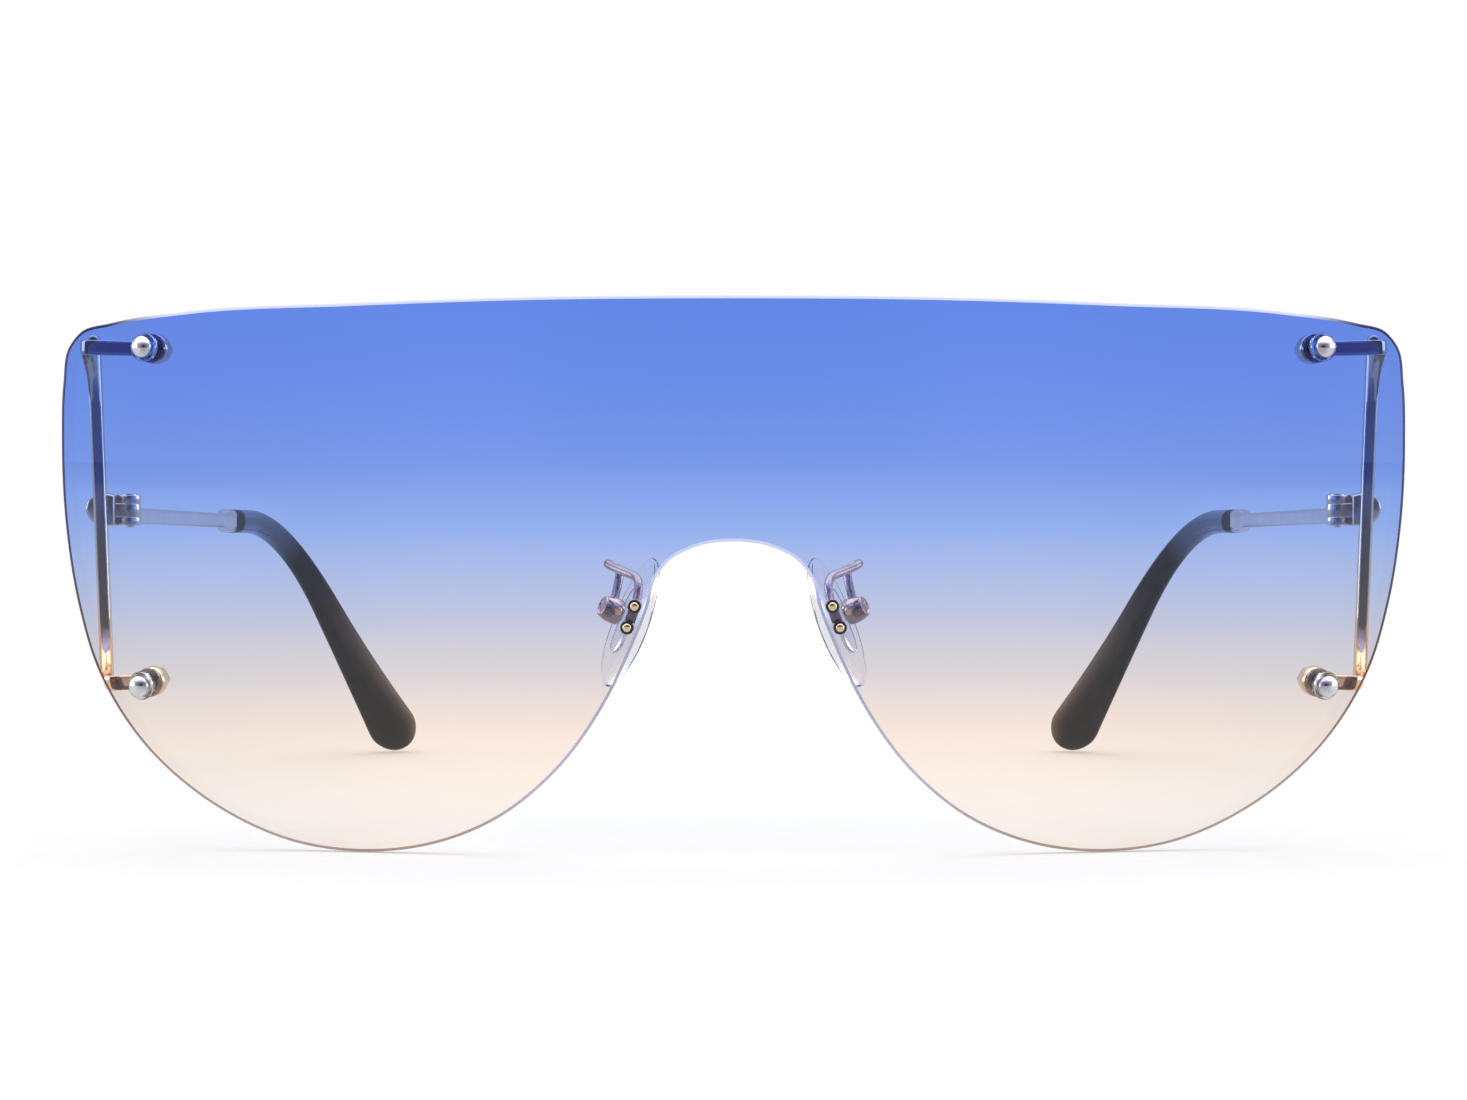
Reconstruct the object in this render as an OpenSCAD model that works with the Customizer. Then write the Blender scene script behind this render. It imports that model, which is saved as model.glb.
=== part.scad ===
// Rimless shield sunglasses, lying open on their lens lobes and temple tips.
// X runs across the face, Y runs back from the lens, Z is up, all in millimetres.
// The left half of the wearer is modelled at +X, and the right half is its mirror.

/* [Lens] */
// Width of the lens across the front
lens_w = 145; // [130:1:165]
// Height of the lens from its lobes to its top edge
lens_h = 59.3; // [54:0.1:68]
// Thickness of the lens
lens_t = 1.8; // [1.4:0.1:2.4]
// Radius of the round front face
lens_r = 175; // [160:1:240]
// Height of the middle of that curve above the lobes
lens_mid_z = 41; // [34:0.5:46]

/* [Lens bolts] */
// Distance of the upper bolt from the side of the lens
upper_bolt_inset = 9.5; // [8:0.1:12]
// Distance of the upper bolt below the top edge
upper_bolt_drop = 5.4; // [5:0.1:8]
// Distance of the lower bolt from the side of the lens
lower_bolt_inset = 8.9; // [8:0.1:10]
// Height of the lower bolt above the lobes
lower_bolt_rise = 17.6; // [16:0.1:22]
// Radius of a bolt's shank
bolt_r = 0.6; // [0.5:0.05:0.7]
// Radius of a bolt's round head
bolt_head_r = 1.15; // [0.9:0.05:1.3]
// Height of the straight rim under the round head
bolt_rim = 0.5; // [0.2:0.05:0.6]
// Height of the round cap on that rim
bolt_dome_h = 0.6; // [0.4:0.05:0.8]
// Length of shank that shows past the nut
bolt_proud = 0.35; // [0.1:0.05:0.8]
// Radius of the clear bush's flange and of the clear washer
bush_r = 1.55; // [1.4:0.05:1.8]
// Thickness of the bush's flange
bush_flange_t = 0.5; // [0.3:0.05:0.8]
// Wall of the bush inside the lens
bush_wall = 0.35; // [0.25:0.05:0.5]
// Thickness of the washer behind the lens
washer_t = 0.5; // [0.45:0.05:0.8]
// Width across the flats of the nut
nut_af = 2.4; // [2.2:0.1:2.8]
// Thickness of the nut
nut_t = 1; // [0.8:0.1:1.4]

/* [Side bracket] */
// Thickness of the upright, seen from the front
wire_t = 1.4; // [1.1:0.05:1.6]
// Thickness of the arms, seen from above
arm_t = 1; // [0.7:0.05:1.1]
// Depth of the upright, and height of the arms
wire_h = 1.65; // [1.3:0.05:1.8]
// Radius of the eyelets round the bolts
eyelet_r = 1.6; // [1.5:0.05:1.9]
// Distance from the lens's side to the upper arm's bend
upper_arm_inset = 2.5; // [2:0.1:3.5]
// Distance from the lens's side to the lower arm's bend
lower_arm_inset = 4.7; // [4:0.1:5.2]
// Distance from the lens's side to the top of the upright
upright_top_inset = 2.4; // [2:0.1:3]
// Distance from the lens's side to the foot of the upright
upright_foot_inset = 3.7; // [3:0.1:4]
// Run of the upper arm from its bend back to the upright
arm_run = 9.3; // [8:0.1:12]
// Bend radius where an arm leaves the lens
arm_bend_r = 1.5; // [1.2:0.1:2]
// Radius of the curved webs between arms and upright
web_r = 6.5; // [5:0.1:6.8]
// Length of upright that stands past the middle of each arm
upright_proud = 1.4; // [1.2:0.1:2]

/* [Hinge] */
// Height of the middle of the hinge
hinge_z = 36; // [33:0.5:39]
// Distance of the pivot inside the upright's middle, seen from the front
pivot_inset = 2.7; // [2.5:0.1:3]
// Distance of the pivot behind the back of the upright
pivot_back = 3.3; // [2.8:0.1:4]
// Height of the three knuckles together
hinge_h = 3.35; // [3:0.05:4]
// Height of the middle knuckle
mid_knuckle_h = 1.45; // [1.2:0.05:1.6]
// Radius of the knuckles
knuckle_r = 1.2; // [1.1:0.05:1.25]
// Radius of the rounded outer end of the end piece
end_piece_r = 1.8; // [1.75:0.05:2]
// Height of the round end's middle above the middle of the hinge
end_piece_lift = 0.2; // [0:0.05:0.3]
// Distance of the round end's middle inside the upright's middle
end_piece_inset = 0.05; // [0:0.05:0.4]
// Radius of the hinge screw's shank
hinge_screw_r = 0.5; // [0.4:0.05:0.6]
// Radius of the hinge screw's head
hinge_head_r = 0.85; // [0.75:0.05:0.95]
// Height of the hinge screw's sunk head
hinge_head_t = 0.45; // [0.35:0.05:0.5]
// Length of the screw's tip that shows under the hinge
hinge_screw_proud = 0.25; // [0.1:0.05:0.4]

/* [Temple] */
// Thickness of the flat temple
temple_t = 1; // [0.8:0.05:1.2]
// Height of the flat temple
temple_h = 1.8; // [1.5:0.05:2.2]
// Length from the hinge to the mouth of the plastic tip
temple_run = 82; // [76:0.5:90]
// Angle by which the temple slopes down towards the ear
temple_slope = 2.2; // [1:0.1:3]
// Angle by which the temple closes in towards the head
temple_close = 3.3; // [2:0.1:3.5]
// Distance of the temple's middle outside the pivot
temple_outset = 2.4; // [2.3:0.05:2.6]
// Length of the high end plate beside the hinge
end_plate_len = 3.2; // [2.8:0.1:4]
// Length of the flare before the plastic tip
flare_len = 6; // [5:0.5:8]

/* [Temple tip] */
// Height of the tip at its mouth
tip_h = 3; // [2.6:0.1:3.4]
// Thickness of the tip at its mouth
tip_t = 2.6; // [2.4:0.1:3]
// Width of the paddle at the end
paddle_h = 6.6; // [5:0.1:8]
// Thickness of the paddle
paddle_t = 3.2; // [2.6:0.1:4]
// Straight length before the ear bend
ear_lead = 7.5; // [5:0.5:10]
// Radius of the ear bend
ear_r = 25.5; // [20:0.5:32]
// Angle of the ear bend
ear_bend = 57; // [48:1:60]
// Distance by which the tip curves in behind the ear
toe_in = 16.5; // [10:0.5:18]
// Twist that turns the paddle's flat side to the head
paddle_twist = 43; // [20:1:50]
// Length of the metal core inside the tip
core_len = 25; // [18:1:32]
// Width and height of the core
core_w = 1.1; // [0.9:0.05:1.3]

/* [Nose pads] */
// Distance of the upper pin from the side of the nose arch
upper_pin_inset = 1.52; // [1.4:0.02:2]
// Distance of the upper pin below that point of the arch
upper_pin_drop = 0.27; // [0:0.01:1]
// Distance of the lower pin outside the upper one
pin_step_x = 0.8; // [0.6:0.05:1]
// Distance of the lower pin below the upper one
pin_step_z = 2.25; // [2.1:0.05:2.6]
// Radius of the pins
pin_r = 0.45; // [0.35:0.05:0.5]
// Radius of the dark bush round each pin
pin_bush_r = 0.7; // [0.6:0.05:0.8]
// Radius of the pad arm's wire
pad_wire_r = 0.46; // [0.35:0.01:0.5]
// Thickness of the plate behind the lens
pin_plate_t = 0.8; // [0.6:0.05:1]
// Distance of the pad's screw outside the upper pin
pad_screw_out = 2.3; // [2:0.1:2.8]
// Distance of the pad's screw behind the lens's front
pad_screw_back = 9.5; // [9:0.1:11]
// Distance of the pad's screw below the upper pin
pad_screw_drop = 0.75; // [0.5:0.05:1]
// Radius of the pad's screw
pad_screw_r = 0.35; // [0.3:0.05:0.4]
// Angle by which the pads turn to follow the sides of the nose
pad_turn = 24; // [15:1:32]
// Angle by which the pads spread towards their feet
pad_splay = 22; // [14:1:26]
// Length of a pad
pad_len = 14.6; // [13:0.1:16]
// Width of a pad
pad_w = 6.4; // [5.8:0.1:8]
// Thickness of a pad
pad_t = 2.2; // [2:0.1:2.8]
// Radius of the round pad box
box_r = 1.4; // [1.35:0.05:1.6]
// Length of the pad box
box_len = 2.2; // [2.1:0.1:3]
// Thickness of the lug in the pad box
lug_t = 1.2; // [1:0.05:1.4]

/* [Hidden] */

// Clearances, overruns and small edges
fit_gap = 0.02;
run_gap = 0.04;
seat_gap = 0.02;
butt_gap = 0.06;
edge_gap = 0.1;
overrun = 1;
pin_proud = 0.25;
pin_plate_rim = 0.15;
pad_screw_head_t = 0.3;
pad_screw_head_gap = 0.15;
box_lip = 0.7;
box_play = 0.15;
lug_wall = 0.55;
insert_t = 0.6;
insert_w = 3;
insert_len = 7.4;
lug_stand = 0.75;
pad_drop = 0.5;
pad_wire_overlap = 0.25;
pad_wire_foot = 0.4;
tip_bore_gap = 0.05;
eyelet_cheek = 0.12;
web_sink = 0.2;
plug_len = 3.2;
plug_h = 1.9;
plug_t = 1.6;
tip_end_rise = 0.6;
toe_power = 1.3;
tip_nose_len = 4;
strip_drop_share = 0.6;
web_share = 0.8;
knuckle_foot_share = 0.9;
flare_fill_share = 0.9;
plug_ease_share = 0.25;
grow_from_share = 0.3;
grow_over_share = 0.65;
grow_power = 2.1;
turn_from_share = 0.2;
nose_close_share = 0.97;
plate_sink_share = 0.97;
plate_side_share = 0.96;
plate_fill_share = 0.94;
wire_start_share = 0.55;
screw_seat_share = 0.72;
lug_fill_share = 0.94;
pad_foot_share = 0.12;
pad_point_share = 0.4;
strip_power = 10;
tip_power = 2.3;
core_power = 2.6;
flare_power = 3;
$fn = 64;
round_fn = 96;
wire_sides = 10;
tip_sides = 24;
pad_sides = 32;
bend_steps = 6;
web_steps = 8;
cap_steps = 12;
outline_steps = 5;
arch_share_index = 21;
tip_steps = 26;
core_steps = 10;

// The lens outline from the top middle round to the top of the nose arch,
// as shares of half the width and of the height
outline_shares = [
    [0, 1], [0.29, 0.9975], [0.56, 0.9875], [0.8, 0.9745], [0.924, 0.953],
    [0.969, 0.938], [0.989, 0.909], [0.9975, 0.844], [1, 0.741], [0.9935, 0.577],
    [0.976, 0.442], [0.948, 0.326], [0.883, 0.1955], [0.774, 0.081], [0.641, 0.012],
    [0.549, 0], [0.4415, 0.0165], [0.349, 0.063], [0.26, 0.1515], [0.184, 0.282],
    [0.15, 0.3685], [0.1225, 0.454], [0.1135, 0.4965], [0.095, 0.5285],
    [0.0555, 0.555], [0, 0.565]
];

// The pad arm's bends between the pin plate and the pad box, as shares of the
// way out, the way back and the way up from the upper pin
pad_wire_shares = [
    [-0.06, 0.06, 0.23], [-0.09, 0.12, 0.48], [0.02, 0.27, 0.67], [0.4, 0.52, 0.78],
    [0.8, 0.78, 0.88], [0.99, 0.92, 0.95], [0.95, 1.04, 0.94], [0.72, 1.06, 0.86],
    [0.6, 1, 0.68]
];
pad_wire_out = 3.1;
pad_wire_back = 7.5;
pad_wire_up = 4.2;

// The pad's layers from its back to its front, as shares of its thickness and its outline
pad_layer_shares = [
    [0, 0.88], [0.12, 0.96], [0.35, 1], [0.62, 0.96], [0.82, 0.84], [0.94, 0.66], [1, 0.42]
];

// How far along the flare before the plastic tip, and how much taller and thicker by there
flare_shares = [[0, 0, 0], [0.2, 0.12, 0.05], [0.42, 0.7, 0.45], [0.7, 1, 0.85], [1, 0.95, 1]];

// Directions and rings
function unit(v) = v / norm(v);
function clamp01(t) = min(max(t, 0), 1);
function ease(t) = t * t * (3 - 2 * t);
function headings(path) = [
    for (i = [0:len(path) - 1])
        unit(path[min(i + 1, len(path) - 1)] - path[max(i - 1, 0)])
];
function carried(dirs, v, i = 0) =
    i >= len(dirs) ? [] :
    let (n = unit(v - dirs[i] * (v * dirs[i])))
    concat([n], carried(dirs, n, i + 1));
function power(c, p) = sign(c) * pow(abs(c), 2 / p);

// One ring of a swept section: a superellipse that is round at p = 2 and boxy above
function ring(c, dir, up, w, h, p, sides) = [
    for (j = [0:sides - 1])
        let (a = 360 * (j + 0.5) / sides)
        c + cross(up, dir) * (w / 2 * power(cos(a), p)) + up * (h / 2 * power(sin(a), p))
];

// Points on a bend of radius r at corner q, between p and s
function bent(p, q, s, r) =
    let (u = unit(p - q), v = unit(s - q), half = acos(u * v) / 2)
    let (turn = 180 - 2 * half, mid = q + unit(u + v) * r / sin(half))
    let (from = q + u * r / tan(half) - mid, to = q + v * r / tan(half) - mid)
    [for (i = [0:bend_steps])
        let (t = i / bend_steps)
        mid + (from * sin((1 - t) * turn) + to * sin(t * turn)) / sin(turn)];

// A closed skin over a chain of rings
module skin(rings) {
    n = len(rings[0]);
    m = len(rings);
    walls = [
        for (i = [0:m - 2], j = [0:n - 1])
            let (a = i * n + j, b = i * n + (j + 1) % n)
            each [[a, a + n, b + n], [a, b + n, b]]
    ];
    first = [for (j = [0:n - 1]) j];
    last = [for (j = [n - 1:-1:0]) (m - 1) * n + j];
    polyhedron([for (r = rings) each r], concat(walls, [first], [last]));
}

// A bar of one section along a path, with its height along the carried direction
module swept(path, up, w, h, p, sides) {
    dirs = headings(path);
    ups = carried(dirs, up);
    skin([for (i = [0:len(path) - 1]) ring(path[i], dirs[i], ups[i], w, h, p, sides)]);
}

// The lens's faces are two spheres about one centre, and these follow them
half_w = lens_w / 2;
function depth_at(x, z) = lens_r - sqrt(lens_r * lens_r - x * x - pow(z - lens_mid_z, 2));
function out_at(spot) =
    [spot[0], depth_at(spot[0], spot[1]) - lens_r, spot[1] - lens_mid_z] / lens_r;
function behind(spot, gap) =
    [spot[0], depth_at(spot[0], spot[1]), spot[1]] - out_at(spot) * gap;
module at_lens(spot) {
    out = out_at(spot);
    translate(behind(spot, 0))
        rotate([0, acos(out[2]), atan2(out[1], out[0])])
            children();
}
upper_bolt = [half_w - upper_bolt_inset, lens_h - upper_bolt_drop];
lower_bolt = [half_w - lower_bolt_inset, lower_bolt_rise];
bolt_spots = [upper_bolt, lower_bolt];
arch_side = outline_shares[arch_share_index];
upper_pin = [arch_side[0] * half_w + upper_pin_inset, arch_side[1] * lens_h - upper_pin_drop];
pin_spots = [upper_pin, upper_pin + [pin_step_x, -pin_step_z]];
bolt_bore_r = bolt_r + fit_gap;
bush_sleeve_r = bolt_bore_r + bush_wall;
bush_hole_r = bush_sleeve_r + fit_gap;
pin_hole_r = pin_bush_r + fit_gap;
washer_top = -lens_t - seat_gap;
eyelet_top = washer_top - washer_t;
eyelet_t = arm_t + 2 * eyelet_cheek;
nut_top = eyelet_top - eyelet_t;
shank_end = nut_top - nut_t - bolt_proud;

// The bracket's corners: an arm leaves its eyelet along the lens, turns back at
// its bend and meets the upright
wire_back = eyelet_t / 2 - eyelet_top;
function arm_start(spot) = behind(spot, wire_back);
function arm_corner(spot, x) =
    let (from = arm_start(spot), out = out_at(spot))
    [x, from[1] + out[0] * (x - from[0]) / -out[1], spot[1]];
upper_corner = arm_corner(upper_bolt, half_w - upper_arm_inset);
lower_corner = arm_corner(lower_bolt, half_w - lower_arm_inset);
upright_back = upper_corner[1] + arm_run;
upright_top = [half_w - upright_top_inset, upright_back, upper_corner[2]];
upright_foot = [half_w - upright_foot_inset, upright_back, lower_corner[2]];
upright_way = unit(upright_top - upright_foot);
function upright_at(z) =
    upright_foot + (upright_top - upright_foot) * (z - upright_foot[2])
        / (upright_top[2] - upright_foot[2]);

// The hinge follows the upright, and the temple follows the hinge
pivot = [upright_at(hinge_z)[0] - pivot_inset, upright_back + wire_h / 2 + pivot_back, hinge_z];
outer_knuckle_h = (hinge_h - mid_knuckle_h) / 2 - run_gap;
knuckle_foot = knuckle_r * knuckle_foot_share;
base_inner = knuckle_r + edge_gap;
temple_root = pivot + [temple_outset, butt_gap, 0];
temple_dir = [-tan(temple_close), 1, -tan(temple_slope)];
strip_drop = (hinge_h - temple_h) / 2 * strip_drop_share;
mouth = temple_root + temple_dir * temple_run - [0, 0, strip_drop];

// The tip runs straight, bends down behind the ear and runs straight to the floor
ear_arc = ear_r * ear_bend * PI / 180;
ear_slope = temple_slope + ear_bend;
arc_end_z = mouth[2] - ear_lead * sin(temple_slope)
    - ear_r * (cos(temple_slope) - cos(ear_slope));
tip_len = ear_lead + ear_arc + (arc_end_z - tip_end_rise) / sin(ear_slope);
function tip_back(s) =
    let (arc = min(max(s - ear_lead, 0), ear_arc), slope = temple_slope + ear_bend * arc / ear_arc)
    min(s, ear_lead) * cos(temple_slope) + ear_r * (sin(slope) - sin(temple_slope))
        + max(s - ear_lead - ear_arc, 0) * cos(ear_slope);
function tip_down(s) =
    let (arc = min(max(s - ear_lead, 0), ear_arc), slope = temple_slope + ear_bend * arc / ear_arc)
    min(s, ear_lead) * sin(temple_slope) + ear_r * (cos(temple_slope) - cos(slope))
        + max(s - ear_lead - ear_arc, 0) * sin(ear_slope);
function tip_at(s) =
    mouth + [-tan(temple_close) * s - toe_in * pow(s / tip_len, toe_power), tip_back(s), -tip_down(s)];

// Sections of the tip: the mouth is nearly round, and the paddle is wide and twisted
function tip_grow(s) =
    pow(clamp01((s / tip_len - grow_from_share) / grow_over_share), grow_power);
function tip_close(s) =
    let (t = clamp01((s - tip_len + tip_nose_len) / tip_nose_len))
    sqrt(1 - pow(nose_close_share * t, 2));
function tip_turn(s) =
    paddle_twist * ease(clamp01((s / tip_len - turn_from_share) / (1 - turn_from_share)));
function tip_width(s) = (tip_h + (paddle_h - tip_h) * tip_grow(s)) * tip_close(s);
function tip_thick(s) = (tip_t + (paddle_t - tip_t) * tip_grow(s)) * tip_close(s);
plug_ease = plug_len * plug_ease_share;
plug_end = plug_len + plug_ease;
function past_plug(s) = ease(clamp01((s - plug_len) / plug_ease));
function bore_w(s) = plug_t + (core_w - plug_t) * past_plug(s);
function bore_h(s) = plug_h + (core_w - plug_h) * past_plug(s);
core_stops = concat(
    [0, plug_len, (plug_len + plug_end) / 2, plug_end],
    [for (i = [1:core_steps]) plug_end + (core_len - plug_end) * i / core_steps]
);
tip_stops = concat(
    [for (i = [0:tip_steps - 1]) (tip_len - tip_nose_len) * i / tip_steps],
    [for (t = [0, 0.35, 0.6, 0.8, 0.93, 1]) tip_len - tip_nose_len * (1 - t)]
);
function frames(stops) =
    let (path = [for (s = stops) tip_at(s)], dirs = headings(path))
    [path, dirs, carried(dirs, [0, 0, 1])];
core_frames = frames(core_stops);
tip_frames = frames(tip_stops);
function core_rings(grow, reach) = [
    for (i = [0:len(core_stops) - 1])
        let (last = i == len(core_stops) - 1 ? reach : 0)
        ring(core_frames[0][i] + core_frames[1][i] * last, core_frames[1][i], core_frames[2][i],
            bore_w(core_stops[i]) + 2 * grow, bore_h(core_stops[i]) + 2 * grow, core_power,
            tip_sides)
];
tip_rings = [
    for (i = [0:len(tip_stops) - 1])
        let (s = tip_stops[i], dir = tip_frames[1][i], up = tip_frames[2][i], a = tip_turn(s))
        ring(tip_frames[0][i], dir, up * cos(a) + cross(up, dir) * sin(a),
            tip_thick(s), tip_width(s), tip_power, tip_sides)
];

// The front of the lens stands half the overall depth before the origin
overall_depth = max([for (r = tip_rings) for (p = r) p[1]]);
module side(mirrored) {
    translate([0, -overall_depth / 2, 0])
        mirror([mirrored ? 1 : 0, 0, 0])
            children();
}

// Outline of the lens: a smooth curve through the shares, run on for its mirror
function spread(a, b) = norm(b - a);
function half_outline() = [for (s = outline_shares) [s[0] * half_w, s[1] * lens_h]];
function speed(pts, i) =
    let (a = i == 0 ? [-pts[1][0], pts[1][1]] : pts[i - 1])
    let (b = pts[i], last = len(pts) - 1)
    let (c = i == last ? [-pts[last - 1][0], pts[last - 1][1]] : pts[i + 1])
    let (h = spread(a, b), k = spread(b, c))
    ((b - a) * k / h + (c - b) * h / k) / (h + k);
function curve(pts) = [
    for (i = [0:len(pts) - 2], j = [0:outline_steps - 1])
        let (t = j / outline_steps, h = spread(pts[i], pts[i + 1]))
        pts[i] * (1 + 2 * t) * pow(1 - t, 2) + speed(pts, i) * (h * t * pow(1 - t, 2))
            + pts[i + 1] * t * t * (3 - 2 * t) + speed(pts, i + 1) * (h * t * t * (t - 1))
];
right_run = curve(half_outline());
lens_outline = concat(
    right_run,
    [for (i = [len(right_run):-1:1]) i == len(right_run)
        ? [0, outline_shares[len(outline_shares) - 1][1] * lens_h]
        : [-right_run[i][0], right_run[i][1]]]
);

// The one-piece shield: a curved sheet cut to its outline and drilled for bolts and pins
module shield_lens() {
    color([0.45, 0.6, 0.92, 0.6])
        translate([0, -overall_depth / 2, 0])
            difference() {
                intersection() {
                    rotate([90, 0, 0])
                        translate([0, 0, -lens_r / 2])
                            linear_extrude(height = lens_r)
                                polygon(lens_outline);
                    translate([0, lens_r, lens_mid_z])
                        difference() {
                            sphere(r = lens_r, $fn = 200);
                            sphere(r = lens_r - lens_t, $fn = 200);
                        }
                }
                for (turn = [0, 1])
                    mirror([turn, 0, 0])
                        lens_holes();
            }
}

module lens_holes() {
    hole_h = lens_t + 2 * overrun;
    for (spot = bolt_spots)
        at_lens(spot)
            translate([0, 0, -lens_t - overrun])
                cylinder(r = bush_hole_r, h = hole_h);
    for (spot = pin_spots)
        at_lens(spot)
            translate([0, 0, -lens_t - overrun])
                cylinder(r = pin_hole_r, h = hole_h);
}

// Chrome bolt with a round head on a short rim
module lens_bolt() {
    head_z = bush_flange_t + seat_gap;
    translate([0, 0, shank_end])
        cylinder(r = bolt_r, h = head_z - shank_end + bolt_rim / 2);
    translate([0, 0, head_z])
        cylinder(r = bolt_head_r, h = bolt_rim);
    dome_r = (bolt_head_r * bolt_head_r / bolt_dome_h + bolt_dome_h) / 2;
    translate([0, 0, head_z + bolt_rim])
        intersection() {
            translate([0, 0, bolt_dome_h - dome_r])
                sphere(r = dome_r, $fn = round_fn);
            cylinder(r = dome_r + overrun, h = dome_r + overrun);
        }
}
module lens_bolts() {
    color("silver")
        for (spot = bolt_spots)
            at_lens(spot)
                lens_bolt();
}

// Clear top-hat bush: flange on the lens's front, sleeve through its hole
module lens_bushes() {
    color([0.92, 0.94, 0.96, 0.5])
        for (spot = bolt_spots)
            at_lens(spot)
                difference() {
                    union() {
                        translate([0, 0, seat_gap])
                            cylinder(r = bush_r, h = bush_flange_t);
                        translate([0, 0, -lens_t])
                            cylinder(r = bush_sleeve_r, h = lens_t + bush_flange_t / 2);
                    }
                    translate([0, 0, -lens_t - overrun])
                        cylinder(r = bolt_bore_r, h = lens_t + bush_flange_t + 2 * overrun);
                }
}

// Clear washer between the lens and the bracket's eyelet
module back_washers() {
    color([0.92, 0.94, 0.96, 0.5])
        for (spot = bolt_spots)
            at_lens(spot)
                translate([0, 0, washer_top - washer_t])
                    difference() {
                        cylinder(r = bush_r, h = washer_t);
                        translate([0, 0, -overrun])
                            cylinder(r = bolt_bore_r, h = washer_t + 2 * overrun);
                    }
}

// Hexagon nuts behind the eyelets
module hex_nuts() {
    color("silver")
        for (spot = bolt_spots)
            at_lens(spot)
                translate([0, 0, nut_top - nut_t])
                    difference() {
                        cylinder(r = nut_af / 2 / cos(30), h = nut_t, $fn = 6);
                        translate([0, 0, -overrun])
                            cylinder(r = bolt_bore_r, h = nut_t + 2 * overrun);
                    }
}

// Bracket: two flat arms with eyelets, an upright bar and a curved web at each joint
function plan_side(path, way) = [
    for (i = [0:len(path) - 1])
        let (d = unit(path[min(i + 1, len(path) - 1)] - path[max(i - 1, 0)]))
        [path[i][0] - d[1] * way * arm_t / 2, path[i][1] + d[0] * way * arm_t / 2]
];
module bracket_arm(spot, corner, joint) {
    start = arm_start(spot);
    path = concat([start], bent(start, corner, joint, arm_bend_r), [joint]);
    other = plan_side(path, -1);
    translate([0, 0, spot[1]])
        linear_extrude(height = wire_h, center = true)
            polygon(concat(plan_side(path, 1), [for (i = [len(other) - 1:-1:0]) other[i]]));
}
module bracket_web(corner, joint, way) {
    run = unit(corner - joint);
    lean = upright_way * way;
    rise = unit(lean - run * (run * lean));
    reach = web_r + wire_h / 2 - web_sink;
    turn = atan2(rise[2], run[0] * rise[1] - run[1] * rise[0]);
    translate(joint)
        rotate([turn, 0, atan2(run[1], run[0])])
            linear_extrude(height = wire_t * web_share, center = true)
                polygon(concat(
                    [[0, 0], [reach, 0]],
                    [for (i = [0:web_steps])
                        let (a = 90 * i / web_steps)
                        [reach - web_r * sin(a), reach - web_r * cos(a)]],
                    [[0, reach]]
                ));
}
module upright() {
    cap_r = wire_t / 2;
    half = norm(upright_top - upright_foot) / 2 + upright_proud - cap_r;
    translate((upright_top + upright_foot) / 2)
        rotate([0, atan2(upright_way[0], upright_way[2]), 0])
            rotate([90, 0, 0])
                linear_extrude(height = wire_h, center = true)
                    polygon([
                        for (i = [0:2 * cap_steps + 1])
                            let (a = 180 * (i > cap_steps ? i - 1 : i) / cap_steps)
                            [cap_r * cos(a), cap_r * sin(a) + (i > cap_steps ? -half : half)]
                    ]);
}
module side_bracket() {
    color("goldenrod")
        difference() {
            union() {
                bracket_arm(upper_bolt, upper_corner, upright_top);
                bracket_arm(lower_bolt, lower_corner, upright_foot);
                bracket_web(upper_corner, upright_top, -1);
                bracket_web(lower_corner, upright_foot, 1);
                upright();
                for (spot = bolt_spots)
                    at_lens(spot)
                        translate([0, 0, nut_top])
                            cylinder(r = eyelet_r, h = eyelet_t);
            }
            for (spot = bolt_spots)
                at_lens(spot)
                    translate([0, 0, nut_top - overrun])
                        cylinder(r = bolt_bore_r, h = eyelet_t + 2 * overrun);
        }
}

// End piece: rounded block on the back of the upright, with the middle knuckle
module end_piece() {
    depth = pivot_back;
    arm_w = base_inner + knuckle_r / 4;
    color("goldenrod")
        translate(pivot)
            difference() {
                union() {
                    translate([pivot_inset - end_piece_inset, 0, end_piece_lift])
                        rotate([90, 0, 0])
                            cylinder(r = end_piece_r, h = depth, $fn = round_fn);
                    translate([base_inner, -depth, -hinge_h / 2])
                        cube([pivot_inset - end_piece_inset - base_inner, depth, hinge_h]);
                    translate([0, -knuckle_foot, -mid_knuckle_h / 2])
                        cube([arm_w, knuckle_foot, mid_knuckle_h]);
                    translate([0, 0, -mid_knuckle_h / 2])
                        cylinder(r = knuckle_r, h = mid_knuckle_h);
                }
                translate([0, 0, -mid_knuckle_h / 2 - overrun])
                    cylinder(r = hinge_screw_r + run_gap, h = mid_knuckle_h + 2 * overrun);
                for (way = [-1, 1])
                    translate([0, 0, way * (hinge_h + mid_knuckle_h) / 2])
                        cylinder(r = base_inner, h = hinge_h, center = true);
            }
}

// Hinge screw: sunk head at the top, tip just past the lowest knuckle
module hinge_screw() {
    color("gold")
        translate(pivot) {
            translate([0, 0, -hinge_h / 2 - hinge_screw_proud])
                cylinder(r = hinge_screw_r, h = hinge_h + hinge_screw_proud - hinge_head_t / 2);
            translate([0, 0, hinge_h / 2 - hinge_head_t])
                cylinder(r = hinge_head_r, h = hinge_head_t + hinge_screw_proud / 2);
        }
}

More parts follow.
